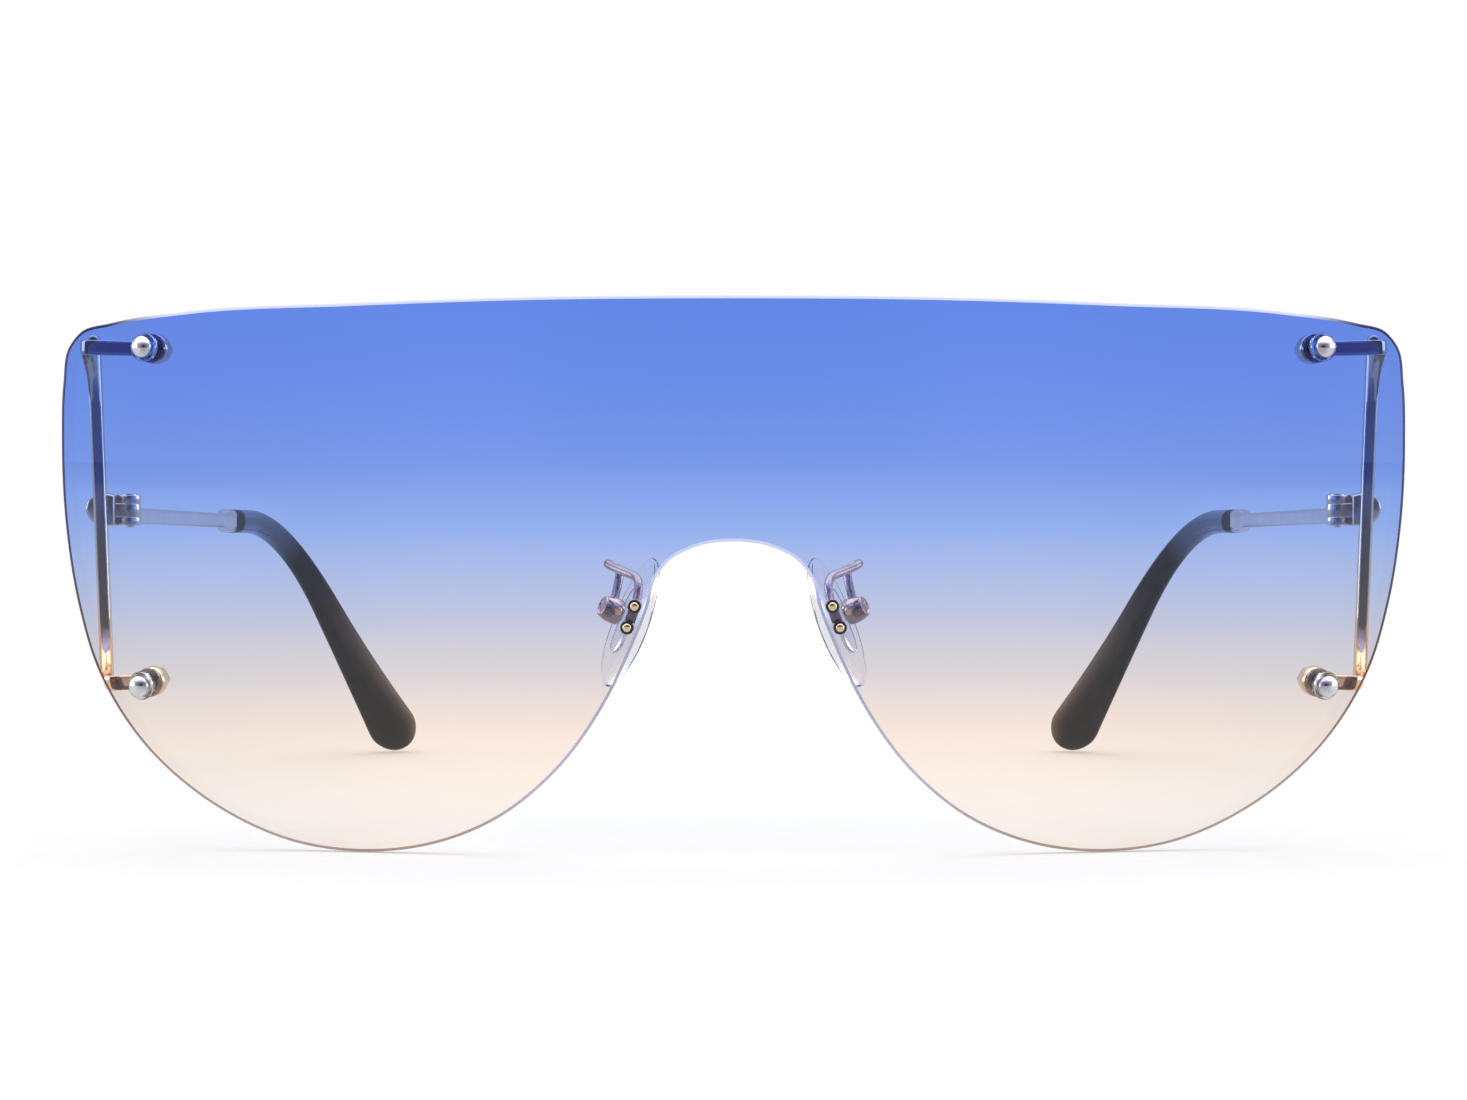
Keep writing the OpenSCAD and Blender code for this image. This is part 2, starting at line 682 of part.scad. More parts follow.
// Temple: end plate with two knuckles, flat strip, flare and the core inside the tip
module temple_strip() {
    start = temple_root + [0, end_plate_len, 0];
    strip_start = temple_root + temple_dir * end_plate_len * 2 - [0, 0, strip_drop];
    strip_end = mouth - temple_dir * flare_len;
    lead = [
        ring(temple_root, [0, 1, 0], [0, 0, 1], temple_t, hinge_h, strip_power, tip_sides),
        for (t = [0, 0.3, 0.6, 0.85, 1])
            ring(start + (strip_start - start) * t, [0, 1, 0], [0, 0, 1],
                temple_t, hinge_h + (temple_h - hinge_h) * ease(t), strip_power, tip_sides)
    ];
    flare = [
        for (f = flare_shares)
            ring(strip_end + (mouth - strip_end) * f[0], [0, 1, 0], [0, 0, 1],
                temple_t + (tip_t - temple_t) * f[2] * flare_fill_share,
                temple_h + (tip_h - temple_h) * f[1],
                strip_power + (flare_power - strip_power) * f[2], tip_sides)
    ];
    skin(concat(lead, flare, core_rings(0, 0)));
}
module temple() {
    color("goldenrod")
        difference() {
            union() {
                temple_strip();
                for (way = [-1, 1])
                    translate(pivot + [0, 0, way * (hinge_h - outer_knuckle_h) / 2]) {
                        cylinder(r = knuckle_r, h = outer_knuckle_h, center = true);
                        translate([0, butt_gap, -outer_knuckle_h / 2])
                            cube([temple_outset, knuckle_foot, outer_knuckle_h]);
                    }
            }
            translate(pivot - [0, 0, hinge_h / 2 + overrun])
                cylinder(r = hinge_screw_r + fit_gap, h = hinge_h + 2 * overrun);
            translate(pivot + [0, 0, hinge_h / 2 - hinge_head_t - fit_gap])
                cylinder(r = hinge_head_r + fit_gap, h = hinge_head_t + overrun);
        }
}

// Temple tip: plastic sleeve over the core, ending in the paddle behind the ear
module temple_tip() {
    bore = core_rings(tip_bore_gap, tip_bore_gap);
    color([0.05, 0.06, 0.1])
        skin(concat([for (i = [len(bore) - 1:-1:0]) bore[i]], tip_rings));
}

// Everything of a pad sits about its screw: x out along the box, y back, z up the pad
pad_pivot = [upper_pin[0] + pad_screw_out, pad_screw_back, upper_pin[1] - pad_screw_drop];
function pad_spot(p) =
    let (x = p[0] * cos(pad_splay) - p[2] * sin(pad_splay))
    let (z = p[0] * sin(pad_splay) + p[2] * cos(pad_splay))
    pad_pivot + [
        x * cos(pad_turn) + p[1] * sin(pad_turn),
        -x * sin(pad_turn) + p[1] * cos(pad_turn),
        z
    ];
module at_pad() {
    translate(pad_pivot)
        rotate([0, 0, -pad_turn])
            rotate([0, -pad_splay, 0])
                children();
}
pad_face = -box_lip - lug_stand;
lug_r = pad_screw_r + lug_wall;
slot_end = lug_r + edge_gap;
slot_reach = 3 * overrun;
slot_h = 2 * (lug_r + box_play);
pad_screw_head_back = box_r * screw_seat_share;

// Pad arm: two pins through the lens, a plate behind it, a bent wire and the pad box
module pin_plate() {
    from = behind(pin_spots[0], lens_t + seat_gap);
    to = behind(pin_spots[1], lens_t + seat_gap);
    plate_r = pin_r + pin_plate_rim;
    for (spot = pin_spots)
        at_lens(spot)
            translate([0, 0, -lens_t - seat_gap - pin_plate_t]) {
                cylinder(r = pin_r, h = pin_plate_t + lens_t + seat_gap + pin_proud);
                cylinder(r = plate_r, h = pin_plate_t);
            }
    mid = (from + to) / 2;
    lean = atan2(to[0] - from[0], from[2] - to[2]);
    at_lens((pin_spots[0] + pin_spots[1]) / 2)
        translate([0, 0, -lens_t - seat_gap - pin_plate_t * plate_sink_share])
            rotate([0, 0, lean])
                translate([-norm(to - from) / 2, -plate_r * plate_side_share, 0])
                    cube([
                        norm(to - from),
                        2 * plate_r * plate_side_share,
                        pin_plate_t * plate_fill_share
                    ]);
}
module pad_wire() {
    start = behind(pin_spots[0], lens_t + seat_gap + pin_plate_t * wire_start_share);
    reach = [pad_wire_out, pad_wire_back, pad_wire_up];
    end = pad_spot([pad_wire_foot, 0, box_r - pad_wire_overlap]);
    knots = concat(
        [start],
        [for (s = pad_wire_shares)
            start + [s[0] * reach[0], s[1] * reach[1], s[2] * reach[2]]],
        [end]
    );
    path = [
        for (i = [0:len(knots) - 2], j = [0:bend_steps - 1])
            let (t = j / bend_steps)
            let (a = knots[max(i - 1, 0)], b = knots[i])
            let (c = knots[i + 1], d = knots[min(i + 2, len(knots) - 1)])
            b + ((c - a) * t + (2 * a - 5 * b + 4 * c - d) * t * t
                + (3 * b - a - 3 * c + d) * t * t * t) / 2
    ];
    swept(concat(path, [end]), [1, 0, 0], 2 * pad_wire_r, 2 * pad_wire_r, 2, wire_sides);
}
module pad_arm() {
    color("rosybrown") {
        pin_plate();
        pad_wire();
        at_pad()
            difference() {
                translate([-box_lip, 0, 0])
                    rotate([0, 90, 0])
                        cylinder(r = box_r, h = box_len);
                translate([slot_end - slot_reach, -lug_t / 2 - run_gap, -slot_h / 2])
                    cube([slot_reach, lug_t + 2 * run_gap, slot_h]);
                rotate([90, 0, 0])
                    cylinder(r = pad_screw_r + fit_gap, h = 4 * box_r, center = true);
                translate([0, -pad_screw_head_back, 0])
                    rotate([90, 0, 0])
                        cylinder(r = pad_screw_r + pad_screw_head_gap + fit_gap, h = box_r);
            }
    }
}

// Dark bushes that grip the pins in the lens
module pin_bushes() {
    color("dimgray")
        for (spot = pin_spots)
            at_lens(spot)
                translate([0, 0, -lens_t])
                    difference() {
                        cylinder(r = pin_bush_r, h = lens_t);
                        translate([0, 0, -overrun])
                            cylinder(r = pin_r + fit_gap, h = lens_t + 2 * overrun);
                    }
}

// Pad screw: the axle on which the pad rocks, its head sunk in the front of the box
module pad_screw() {
    color("gold")
        at_pad() {
            rotate([90, 0, 0])
                cylinder(r = pad_screw_r, h = 2 * pad_screw_head_back, center = true);
            translate([0, -pad_screw_head_back, 0])
                rotate([90, 0, 0])
                    cylinder(r = pad_screw_r + pad_screw_head_gap, h = pad_screw_head_t);
        }
}

// Clear insert: a lug on the screw and an oval plate in the back of the pad
module insert_plate(grow) {
    straight = insert_len - insert_w;
    translate([pad_face - insert_t - grow, 0, -pad_drop]) {
        translate([0, -insert_w / 2 - grow, -straight / 2])
            cube([insert_t + grow, insert_w + 2 * grow, straight]);
        for (way = [-1, 1])
            translate([0, 0, way * straight / 2])
                rotate([0, 90, 0])
                    cylinder(r = insert_w / 2 + grow, h = insert_t + grow);
    }
}
module pad_insert() {
    color([0.92, 0.93, 0.95, 0.5])
        at_pad()
            difference() {
                union() {
                    insert_plate(0);
                    rotate([90, 0, 0])
                        cylinder(r = lug_r, h = lug_t, center = true);
                    translate([pad_face - insert_t / 2, -lug_t / 2, -lug_r * lug_fill_share])
                        cube([insert_t / 2 - pad_face, lug_t, 2 * lug_r * lug_fill_share]);
                }
                rotate([90, 0, 0])
                    cylinder(r = pad_screw_r + run_gap, h = 2 * lug_t, center = true);
            }
}

// Nose pad: a soft clear oval, fuller towards its foot, with a pocket for the insert
module nose_pad() {
    color([0.93, 0.94, 0.97, 0.45])
        at_pad()
            difference() {
                skin([
                    for (f = pad_layer_shares)
                        [for (j = [0:pad_sides - 1])
                            let (a = 360 * (j + 0.5) / pad_sides)
                            let (point = 1 - pad_point_share * (1 - f[1]))
                            [pad_face - f[0] * pad_t,
                                -pad_w / 2 * f[1] * cos(a) * (1 - pad_foot_share * sin(a)),
                                pad_len / 2 * f[1] * point * sin(a) - pad_drop]]
                ]);
                insert_plate(run_gap);
                translate([pad_face - run_gap, 0, -pad_drop])
                    translate([0, -insert_w / 2 - run_gap, -insert_len / 2])
                        cube([overrun, insert_w + 2 * run_gap, insert_len]);
            }
}

shield_lens();
side(false) side_bracket();  // left_side_bracket
side(true) side_bracket();  // right_side_bracket
side(false) end_piece();  // left_end_piece
side(true) end_piece();  // right_end_piece
side(false) lens_bolts();  // left_lens_bolts
side(true) lens_bolts();  // right_lens_bolts
side(false) lens_bushes();  // left_lens_bushes
side(true) lens_bushes();  // right_lens_bushes
side(false) back_washers();  // left_back_washers
side(true) back_washers();  // right_back_washers
side(false) hex_nuts();  // left_hex_nuts
side(true) hex_nuts();  // right_hex_nuts
side(false) hinge_screw();  // left_hinge_screw
side(true) hinge_screw();  // right_hinge_screw
side(false) temple();  // left_temple
side(true) temple();  // right_temple
side(false) temple_tip();  // left_temple_tip
side(true) temple_tip();  // right_temple_tip
side(false) pad_arm();  // left_pad_arm
side(true) pad_arm();  // right_pad_arm
side(false) pin_bushes();  // left_pin_bushes
side(true) pin_bushes();  // right_pin_bushes
side(false) pad_screw();  // left_pad_screw
side(true) pad_screw();  // right_pad_screw
side(false) pad_insert();  // left_pad_insert
side(true) pad_insert();  // right_pad_insert
side(false) nose_pad();  // left_nose_pad
side(true) nose_pad();  // right_nose_pad
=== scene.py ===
# %% [markdown]
# # Rimless shield sunglasses
# One curved lens carries everything here. Two bent metal brackets are bolted through
# its corners, the temples hinge on them, and two pad arms hold silicone nose pads.
# The model stands as the real pair does on a table, on the two lens lobes and on the
# plastic temple tips. All shapes below are worked out in millimetres about the middle
# of the lens, x across, d back from the lens and z up, and turned into metres at the end.

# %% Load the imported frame
import math

import bpy
import numpy as np
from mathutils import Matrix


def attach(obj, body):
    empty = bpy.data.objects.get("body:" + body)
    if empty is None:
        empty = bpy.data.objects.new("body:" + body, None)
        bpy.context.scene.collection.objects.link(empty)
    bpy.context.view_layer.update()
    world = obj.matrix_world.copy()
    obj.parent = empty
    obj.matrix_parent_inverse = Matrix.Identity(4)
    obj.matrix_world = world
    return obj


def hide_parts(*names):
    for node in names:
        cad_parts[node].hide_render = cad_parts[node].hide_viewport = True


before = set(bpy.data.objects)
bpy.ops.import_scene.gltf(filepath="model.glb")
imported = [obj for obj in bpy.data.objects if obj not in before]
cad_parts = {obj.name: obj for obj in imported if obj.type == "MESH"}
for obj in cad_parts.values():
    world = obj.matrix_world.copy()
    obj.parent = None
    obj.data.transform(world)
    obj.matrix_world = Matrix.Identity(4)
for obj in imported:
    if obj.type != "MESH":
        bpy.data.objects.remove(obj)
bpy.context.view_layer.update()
MM = 0.001
HALF_DEPTH = 76.982


# %% [markdown]
# ## Camera
# The lens front is seen almost straight on and a little from above. A long lens at half
# a metre gives the gentle shrinking of the temples that run back behind the shield.

# %% Camera
CAMERA_BACK, CAMERA_HEIGHT, CAMERA_DIP = 520, 50.75, 1.9965
camera_data = bpy.data.cameras.new("camera")
camera_data.lens = 121.86
camera_data.sensor_width = 36
camera_data.clip_start = 0.01
camera = bpy.data.objects.new("camera", camera_data)
camera.location = (0, -(HALF_DEPTH + CAMERA_BACK) * MM, CAMERA_HEIGHT * MM)
camera.rotation_euler = (math.radians(90 - CAMERA_DIP), 0, 0)
bpy.context.scene.collection.objects.link(camera)
bpy.context.scene.camera = camera
bpy.context.scene.view_settings.view_transform = "Standard"
print("camera stands", CAMERA_BACK, "mm before the lens")


# %% [markdown]
# ## Vector helpers
# Every shape is an array of points whose last axis is x, d, z. Rings of points are
# stacked into a loft, and these small helpers keep the arrays short to write.

# %% Vector helpers
def vec(*values):
    """A vector of floats."""
    return np.array(values, float)


def unit(v):
    """Each vector divided by its length."""
    v = np.asarray(v, float)
    return v / np.linalg.norm(v, axis=-1, keepdims=True)


def square_to(up, ahead):
    """Up less its part along the heading, at length one."""
    up = np.broadcast_to(np.asarray(up, float), ahead.shape)
    return unit(up - ahead * np.sum(up * ahead, -1, keepdims=True))


def ease(t):
    """The smooth step: three t squared less two t cubed, with t held between 0 and 1."""
    t = np.clip(t, 0, 1)
    return t * t * (3 - 2 * t)


def circle(count, start=0.5):
    """Angles of a full turn, counter-clockwise, the first one half a step round."""
    return 2 * np.pi * (np.arange(count) + start) / count


def quarter(edge, steps=3):
    """A quarter round as two lists: edge (1 - sin a) and edge (1 - cos a) for a from 0 to
    90 degrees."""
    a = np.linspace(0, np.pi / 2, steps + 1)
    return edge * (1 - np.sin(a)), edge * (1 - np.cos(a))


def rim_profile(radius, low, high, edge):
    """The outside of a turned piece from low to high, with both of its rims rounded."""
    s, c = quarter(edge)
    return np.vstack([np.column_stack([radius - s, low + c]),
                      np.column_stack([radius - c, high - s])])


# %% [markdown]
# ## Lofts
# A loft joins rings into a tube of four-sided faces. Rings run counter-clockwise about
# the way of travel, so the faces look outwards. The ends close with a fan round a pole,
# or the last ring joins the first, as in a washer.

# %% Loft
def loft(rings, joined=False):
    """Points and faces of a skin: face i, j spans ring i to i + 1 and point j to j + 1."""
    rings = np.asarray(rings, float)
    m, n = rings.shape[:2]
    i, j = np.meshgrid(np.arange(m if joined else m - 1), np.arange(n), indexing="ij")
    a, b = i * n, (i + 1) % m * n
    k = (j + 1) % n
    quads = np.stack([a + j, a + k, b + k, b + j], -1).reshape(-1, 4)
    points = rings.reshape(-1, 3)
    if joined:
        return points, [quads]
    poles = np.stack([rings[0].mean(0), rings[-1].mean(0)])
    j, k = j[0], k[0]
    start = np.stack([np.full(n, m * n), k, j], -1)
    end = np.stack([np.full(n, m * n + 1), (m - 1) * n + j, (m - 1) * n + k], -1)
    return np.vstack([points, poles]), [quads, start, end]


def turned(profile, count=64, joined=False):
    """A profile of radius and height turned about z, as on a lathe: the point at angle a
    is radius cos a, radius sin a, height."""
    profile = np.asarray(profile, float)
    a = circle(count)
    r, z = profile[:, :1], profile[:, 1:]
    return loft(np.stack([r * np.cos(a), r * np.sin(a), z + 0 * a], -1), joined)


def superellipse(count, power):
    """Points cos and sin of the angle, each raised to 2 / power: round at 2, boxy above."""
    a = circle(count)
    way = np.stack([np.cos(a), np.sin(a)], -1)
    return np.sign(way) * abs(way) ** (2 / np.asarray(power, float)[..., None, None])


def travel(path):
    """The heading at each point: towards the next point from the last one."""
    ahead = np.vstack([path[1:], path[-1:]])
    behind_it = np.vstack([path[:1], path[:-1]])
    return unit(ahead - behind_it)


def swept(path, up, width, height, power=2.0, count=32):
    """A superellipse carried along a path: the point is the path's plus sideways width / 2
    times its cosine part plus upwards height / 2 times its sine part. Up follows the path."""
    ahead = travel(path)
    ups = square_to(up, ahead)
    side_way = np.cross(ups, ahead)
    width, height, power = (np.broadcast_to(np.asarray(item, float), len(path))
                            for item in (width, height, power))
    shape = superellipse(count, power) * np.stack([width, height], -1)[:, None] / 2
    return path[:, None] + side_way[:, None] * shape[..., :1] + ups[:, None] * shape[..., 1:]


def slab(outline, low, high, edge=0.1, steps=3):
    """A flat plate with rounded rims: its counter-clockwise outline moves in along its own
    normals by edge (1 - sin a), at the height edge (1 - cos a) from either face."""
    outline = np.asarray(outline, float)
    ahead = unit(np.roll(outline, -1, 0) - outline)
    before = np.roll(ahead, 1, 0)
    inward = np.stack([-(ahead + before)[:, 1], (ahead + before)[:, 0]], -1)
    inward /= np.maximum(1 + np.sum(ahead * before, -1, keepdims=True), 0.4)
    s, c = quarter(edge, steps)
    inset = np.concatenate([s, s[::-1]])[:, None, None]
    height = np.concatenate([low + c, high - c[::-1]])[:, None, None]
    flat = outline + inward * inset
    return loft(np.concatenate([flat, height + 0 * flat[..., :1]], -1))


def stadium(length, radius, count=24):
    """A strip with half-round ends, its middle at the origin and its length along y."""
    a = np.linspace(0, np.pi, count)
    half = max(length / 2 - radius, 0)
    top = np.column_stack([radius * np.cos(a), radius * np.sin(a) + half])
    return np.vstack([top, -top])


def block(size, middle, edge=0.1):
    """A box with softened edges: a slab over its rectangle."""
    x, y, z = np.asarray(size, float) / 2
    r = min(edge, x, y) * 0.98
    s, c = quarter(r)
    corner, next_corner = np.column_stack([x - c, y - s]), np.column_stack([s - x, y - c])
    outline = np.vstack([corner, next_corner, -corner, -next_corner])
    points, faces = slab(outline, -z, z, r * 0.8)
    return points + middle, faces


# %% [markdown]
# ## Placing and joining
# A turned piece is made about its own axis and then stood on the lens or on the hinge.
# Pieces that are soldered on the real object are merged by a Boolean union, and bores are
# cut by a difference, so each one is a single closed surface.

# %% Placing and joining
LEVEL = np.eye(3)
MIRROR = (-1, 1, 1)


def placed(shape, origin, axes=LEVEL):
    """The shape with its x, y and z laid along three axes from an origin."""
    points, faces = shape
    return origin + points @ np.asarray(axes, float), faces


def mesh_of(name, shape):
    """A mesh of the points and faces, still in millimetres about the lens."""
    points, faces = shape
    mesh = bpy.data.meshes.new(name)
    mesh.from_pydata(points.tolist(), [], [f for part in faces for f in part.tolist()])
    return mesh


def remap(mesh, shift, factor):
    """Every point of a mesh moved by a shift, and then multiplied by a factor."""
    points = np.zeros(len(mesh.vertices) * 3, np.float32)
    mesh.vertices.foreach_get("co", points)
    points = (points.reshape(-1, 3) + shift) * factor
    mesh.vertices.foreach_set("co", points.astype(np.float32).ravel())
    mesh.update()


def settle(piece):
    """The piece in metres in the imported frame: d less half the whole depth, over a thousand."""
    remap(piece.data, (0, -HALF_DEPTH, 0), MM)
    return piece


def show(name, mesh):
    """An object at the origin that carries the mesh."""
    piece = bpy.data.objects.new(name, mesh)
    bpy.context.scene.collection.objects.link(piece)
    return piece


def carve(piece, shapes, operation):
    """The piece united with shapes, or less them, one after the other, as plain mesh."""
    for shape in shapes:
        tool = show("tool", mesh_of("tool", shape))
        modifier = piece.modifiers.new("join", "BOOLEAN")
        modifier.operation = operation
        modifier.solver = "MANIFOLD"
        modifier.object = tool
        worked = piece.evaluated_get(bpy.context.evaluated_depsgraph_get())
        result = bpy.data.meshes.new_from_object(worked)
        piece.modifiers.clear()
        piece.data = result
        bpy.data.objects.remove(tool)
    return piece


def solid(name, shapes, bores=()):
    """One closed piece: the shapes united and the bores taken out."""
    piece = show(name, mesh_of(name, shapes[0]))
    carve(piece, shapes[1:], "UNION")
    return settle(carve(piece, bores, "DIFFERENCE"))


def group(name, shapes):
    """Several separate closed shapes in one piece, such as two bolts."""
    start, points, faces = 0, [], []
    for p, f in shapes:
        points.append(p)
        faces += [part + start for part in f]
        start += len(p)
    return settle(show(name, mesh_of(name, (np.vstack(points), faces))))


def soften(piece, angle=35):
    """Smooth shading, with the edges above an angle kept crisp."""
    piece.data.shade_smooth()
    piece.data.set_sharp_from_angle(angle=math.radians(angle))


def mirrored(piece):
    """The right-hand twin: x changes sign, and the faces are turned back outwards."""
    twin = show(piece.name.replace("left", "right"), piece.data.copy())
    remap(twin.data, 0, MIRROR)
    twin.data.flip_normals()
    return twin


def both_sides(piece, material, body, node):
    """Finish a left-hand piece and its twin: material, body and the node it stands for."""
    piece.data.materials.clear()
    piece.data.materials.append(material)
    for side, item in (("left", piece), ("right", mirrored(piece))):
        soften(item)
        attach(item, body.replace("left", side))
        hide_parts(side + "_" + node)
    print(piece.name, "has", len(piece.data.polygons), "faces")


# %% [markdown]
# ## Finishes
# The metal is thin plated wire, so its gloss shows soft bands of the studio with fine
# polishing haze. Noise on object coordinates varies the gloss and lifts a faint bump.
# Clear plastics and rubber differ in gloss and bending of light more than in colour.

# %% Finishes
WHITE = (1, 1, 1, 1)
TONE_GRAINS, HAZE_GRAINS, POLISH_GRAINS = 420, 1900, 5200
POLISH_LIFT, POLISH_SHARE = 0.004 * MM, 0.12


def nodes_of(name):
    """A new material and its node tree, with the shader ready."""
    material = bpy.data.materials.new(name)
    material.use_nodes = True
    tree = material.node_tree
    return material, tree, tree.nodes["Principled BSDF"]


def feed(tree, node, sockets):
    """Each input takes its value, or a link where it is another node's output."""
    for name, value in sockets.items():
        if isinstance(value, bpy.types.NodeSocket):
            tree.links.new(value, node.inputs[name])
        else:
            node.inputs[name].default_value = value


def add(tree, kind, sockets=None, **settings):
    """A new node with its settings and inputs."""
    node = tree.nodes.new(kind)
    for key, value in settings.items():
        setattr(node, key, value)
    feed(tree, node, sockets or {})
    return node


def maths(tree, operation, *values, **settings):
    """The result of one operation on values and outputs."""
    inputs = dict(enumerate(values))
    return add(tree, "ShaderNodeMath", inputs, operation=operation, **settings).outputs[0]


def eased(tree, value, start, end, low=0, high=1, kind="SMOOTHSTEP"):
    """A value carried from start and end to low and high, held there outside them."""
    return add(tree, "ShaderNodeMapRange", {
        "Value": value, "From Min": start, "From Max": end, "To Min": low, "To Max": high},
        interpolation_type=kind).outputs["Result"]


def blend(tree, factor, first, second, kind="MIX"):
    """The first colour where the factor is 0 and the second where it is 1."""
    return add(tree, "ShaderNodeMix", {"Factor": factor, "A": first, "B": second},
               data_type="RGBA", blend_type=kind).outputs["Result"]


def parts_of(tree, source="Object"):
    """The x, y and z of a texture coordinate. Object coordinates are in metres."""
    place = add(tree, "ShaderNodeTexCoord").outputs[source]
    return tuple(add(tree, "ShaderNodeSeparateXYZ", {"Vector": place}).outputs)


def object_noise(tree, scale, detail=3.0, stretch=(1, 1, 1)):
    """Noise over object coordinates, at so many grains a metre."""
    place = add(tree, "ShaderNodeTexCoord").outputs["Object"]
    mapping = add(tree, "ShaderNodeMapping", {"Vector": place, "Scale": stretch})
    return add(tree, "ShaderNodeTexNoise", {
        "Vector": mapping.outputs["Vector"], "Scale": scale, "Detail": detail}).outputs["Fac"]


def ramp(tree, source, stops, kind="LINEAR"):
    """A colour ramp over a value, with a few designed stops."""
    node = add(tree, "ShaderNodeValToRGB", {"Fac": source})
    node.color_ramp.interpolation = kind
    elements = node.color_ramp.elements
    for index, (place, colour) in enumerate(stops):
        element = elements[index] if index < 2 else elements.new(place)
        element.position = place
        element.color = (*colour, 1)
    return node.outputs["Color"]


def linear(red, green, blue):
    """A screen colour of 0 to 255 turned into light: the power 2.4 of (c + 0.055) / 1.055."""
    c = vec(red, green, blue) / 255
    return tuple(np.where(c <= 0.04045, c / 12.92, ((c + 0.055) / 1.055) ** 2.4).tolist())


def paint(colour):
    """A screen colour as the four values of a colour input."""
    return (*linear(*colour), 1)


def hazy(tree, shader, scale, low, high, detail=2, stretch=(1, 1, 1)):
    """Roughness that wanders between two levels."""
    haze = object_noise(tree, scale, detail, stretch)
    feed(tree, shader, {"Roughness": eased(tree, haze, 0, 1, low, high, "LINEAR")})


def mixed_surface(tree, factor, first, second):
    """The material's surface goes from one shader to another."""
    mix = add(tree, "ShaderNodeMixShader", {"Fac": factor, 1: first, 2: second})
    feed(tree, tree.nodes["Material Output"], {"Surface": mix.outputs["Shader"]})


def plated(name, colour, worn, rough, patch=None):
    """Plated metal: two close tones over slow noise, gloss that varies and a faint grain. A
    patch has another colour wherever y lies within a reach of its middle."""
    material, tree, shader = nodes_of(name)
    tone = object_noise(tree, TONE_GRAINS, 4)
    tint = ramp(tree, tone, [(0.35, linear(*worn)), (0.62, linear(*colour))])
    if patch:
        middle, reach, other = patch
        within = maths(tree, "COMPARE", parts_of(tree)[1], middle, reach)
        tint = blend(tree, within, tint, paint(other))
    hazy(tree, shader, HAZE_GRAINS, rough * 0.65, rough * 1.5, 3, (1, 1, 0.35))
    grain = object_noise(tree, POLISH_GRAINS, 2, (1, 1, 0.25))
    lift = add(tree, "ShaderNodeBump", {"Strength": POLISH_SHARE, "Distance": POLISH_LIFT,
                                        "Height": grain})
    feed(tree, shader, {"Base Color": tint, "Normal": lift.outputs["Normal"], "Metallic": 1})
    return material


def let_lamps_through(tree, shader, colour):
    """Shadow rays pass tinted, as they do in real clear plastic, so the shadow stays pale."""
    path = add(tree, "ShaderNodeLightPath")
    veil = add(tree, "ShaderNodeBsdfTransparent", {"Color": colour})
    mixed_surface(tree, path.outputs["Is Shadow Ray"], shader.outputs["BSDF"],
                  veil.outputs["BSDF"])


def clear(name, colour, rough, ior, haze_scale=900):
    """Clear plastic: light goes through, and the gloss is broken by a fine moulding haze."""
    material, tree, shader = nodes_of(name)
    feed(tree, shader, {"Base Color": paint(colour), "Transmission Weight": 1, "IOR": ior})
    hazy(tree, shader, haze_scale, rough * 0.5, rough * 1.5)
    let_lamps_through(tree, shader, paint(colour))
    return material


# The plug of the temple's core, inside the tip's mouth, is painted near-black: painted shade for
# the dark inside of the sleeve's opening.
PLUG_PAINTED_SHADE = (0.0387, 0.0021, (14, 12, 14))
PIN_PATCH = (-0.0767, 0.0008, (255, 234, 184))
gold = plated("gold_plating", (252, 222, 186), (244, 211, 174), 0.12)
champagne = plated("champagne_plating", (254, 229, 209), (246, 216, 196), 0.14, PLUG_PAINTED_SHADE)
rose = plated("rose_gold_plating", (206, 180, 170), (168, 142, 134), 0.12, PIN_PATCH)
chrome = plated("chrome_plating", (226, 228, 232), (196, 198, 204), 0.09)
clear_plastic = clear("clear_plastic", (236, 240, 246), 0.06, 1.46)
silicone = clear("clear_silicone", (246, 247, 249), 0.05, 1.14, 500)
print("finishes made:", len(bpy.data.materials))


# %% [markdown]
# ## Dark rubber and smoky tips
# The bushes round the pad arm's pins are soft dark rubber. The tips are moulded in a
# blue-black plastic that lets light in at its neck, so the metal core shows near the
# mouth. The way back sets both the dye and the share of light that goes through.

# %% Dark rubber and smoky tips
NECK_REACH = (0.036, 0.058)
# The zero share of light up to 0.0396 m keeps the mouth black: painted shade for the dark inside
# of the sleeve's opening.
NECK_LIGHT_AND_MOUTH_SHADE = [(0.036, 0), (0.0396, 0), (0.0401, 1), (0.046, 1), (0.051, 0.45), (0.057, 0)]
# The last colour on the next line is a painted highlight on the low inner edge of the tip, placed
# by the turn and height reaches after it.
TIP_DYE, NECK_DYE, EDGE_HIGHLIGHT = (0.002, 0.002, 0.004), (0.26, 0.3, 0.44), (0.15, 0.12, 0.1)
HIGHLIGHT_TURN, HIGHLIGHT_HEIGHT = (-0.044, -0.012), (0.008, 0.026)


def dark_rubber():
    """Matt dark rubber with slow tone changes."""
    material, tree, shader = nodes_of("bush_rubber")
    tone = ramp(tree, object_noise(tree, 1500),
                [(0.3, (0.012, 0.011, 0.014)), (0.7, (0.035, 0.03, 0.034))])
    feed(tree, shader, {"Base Color": tone, "Roughness": 0.45})
    return material


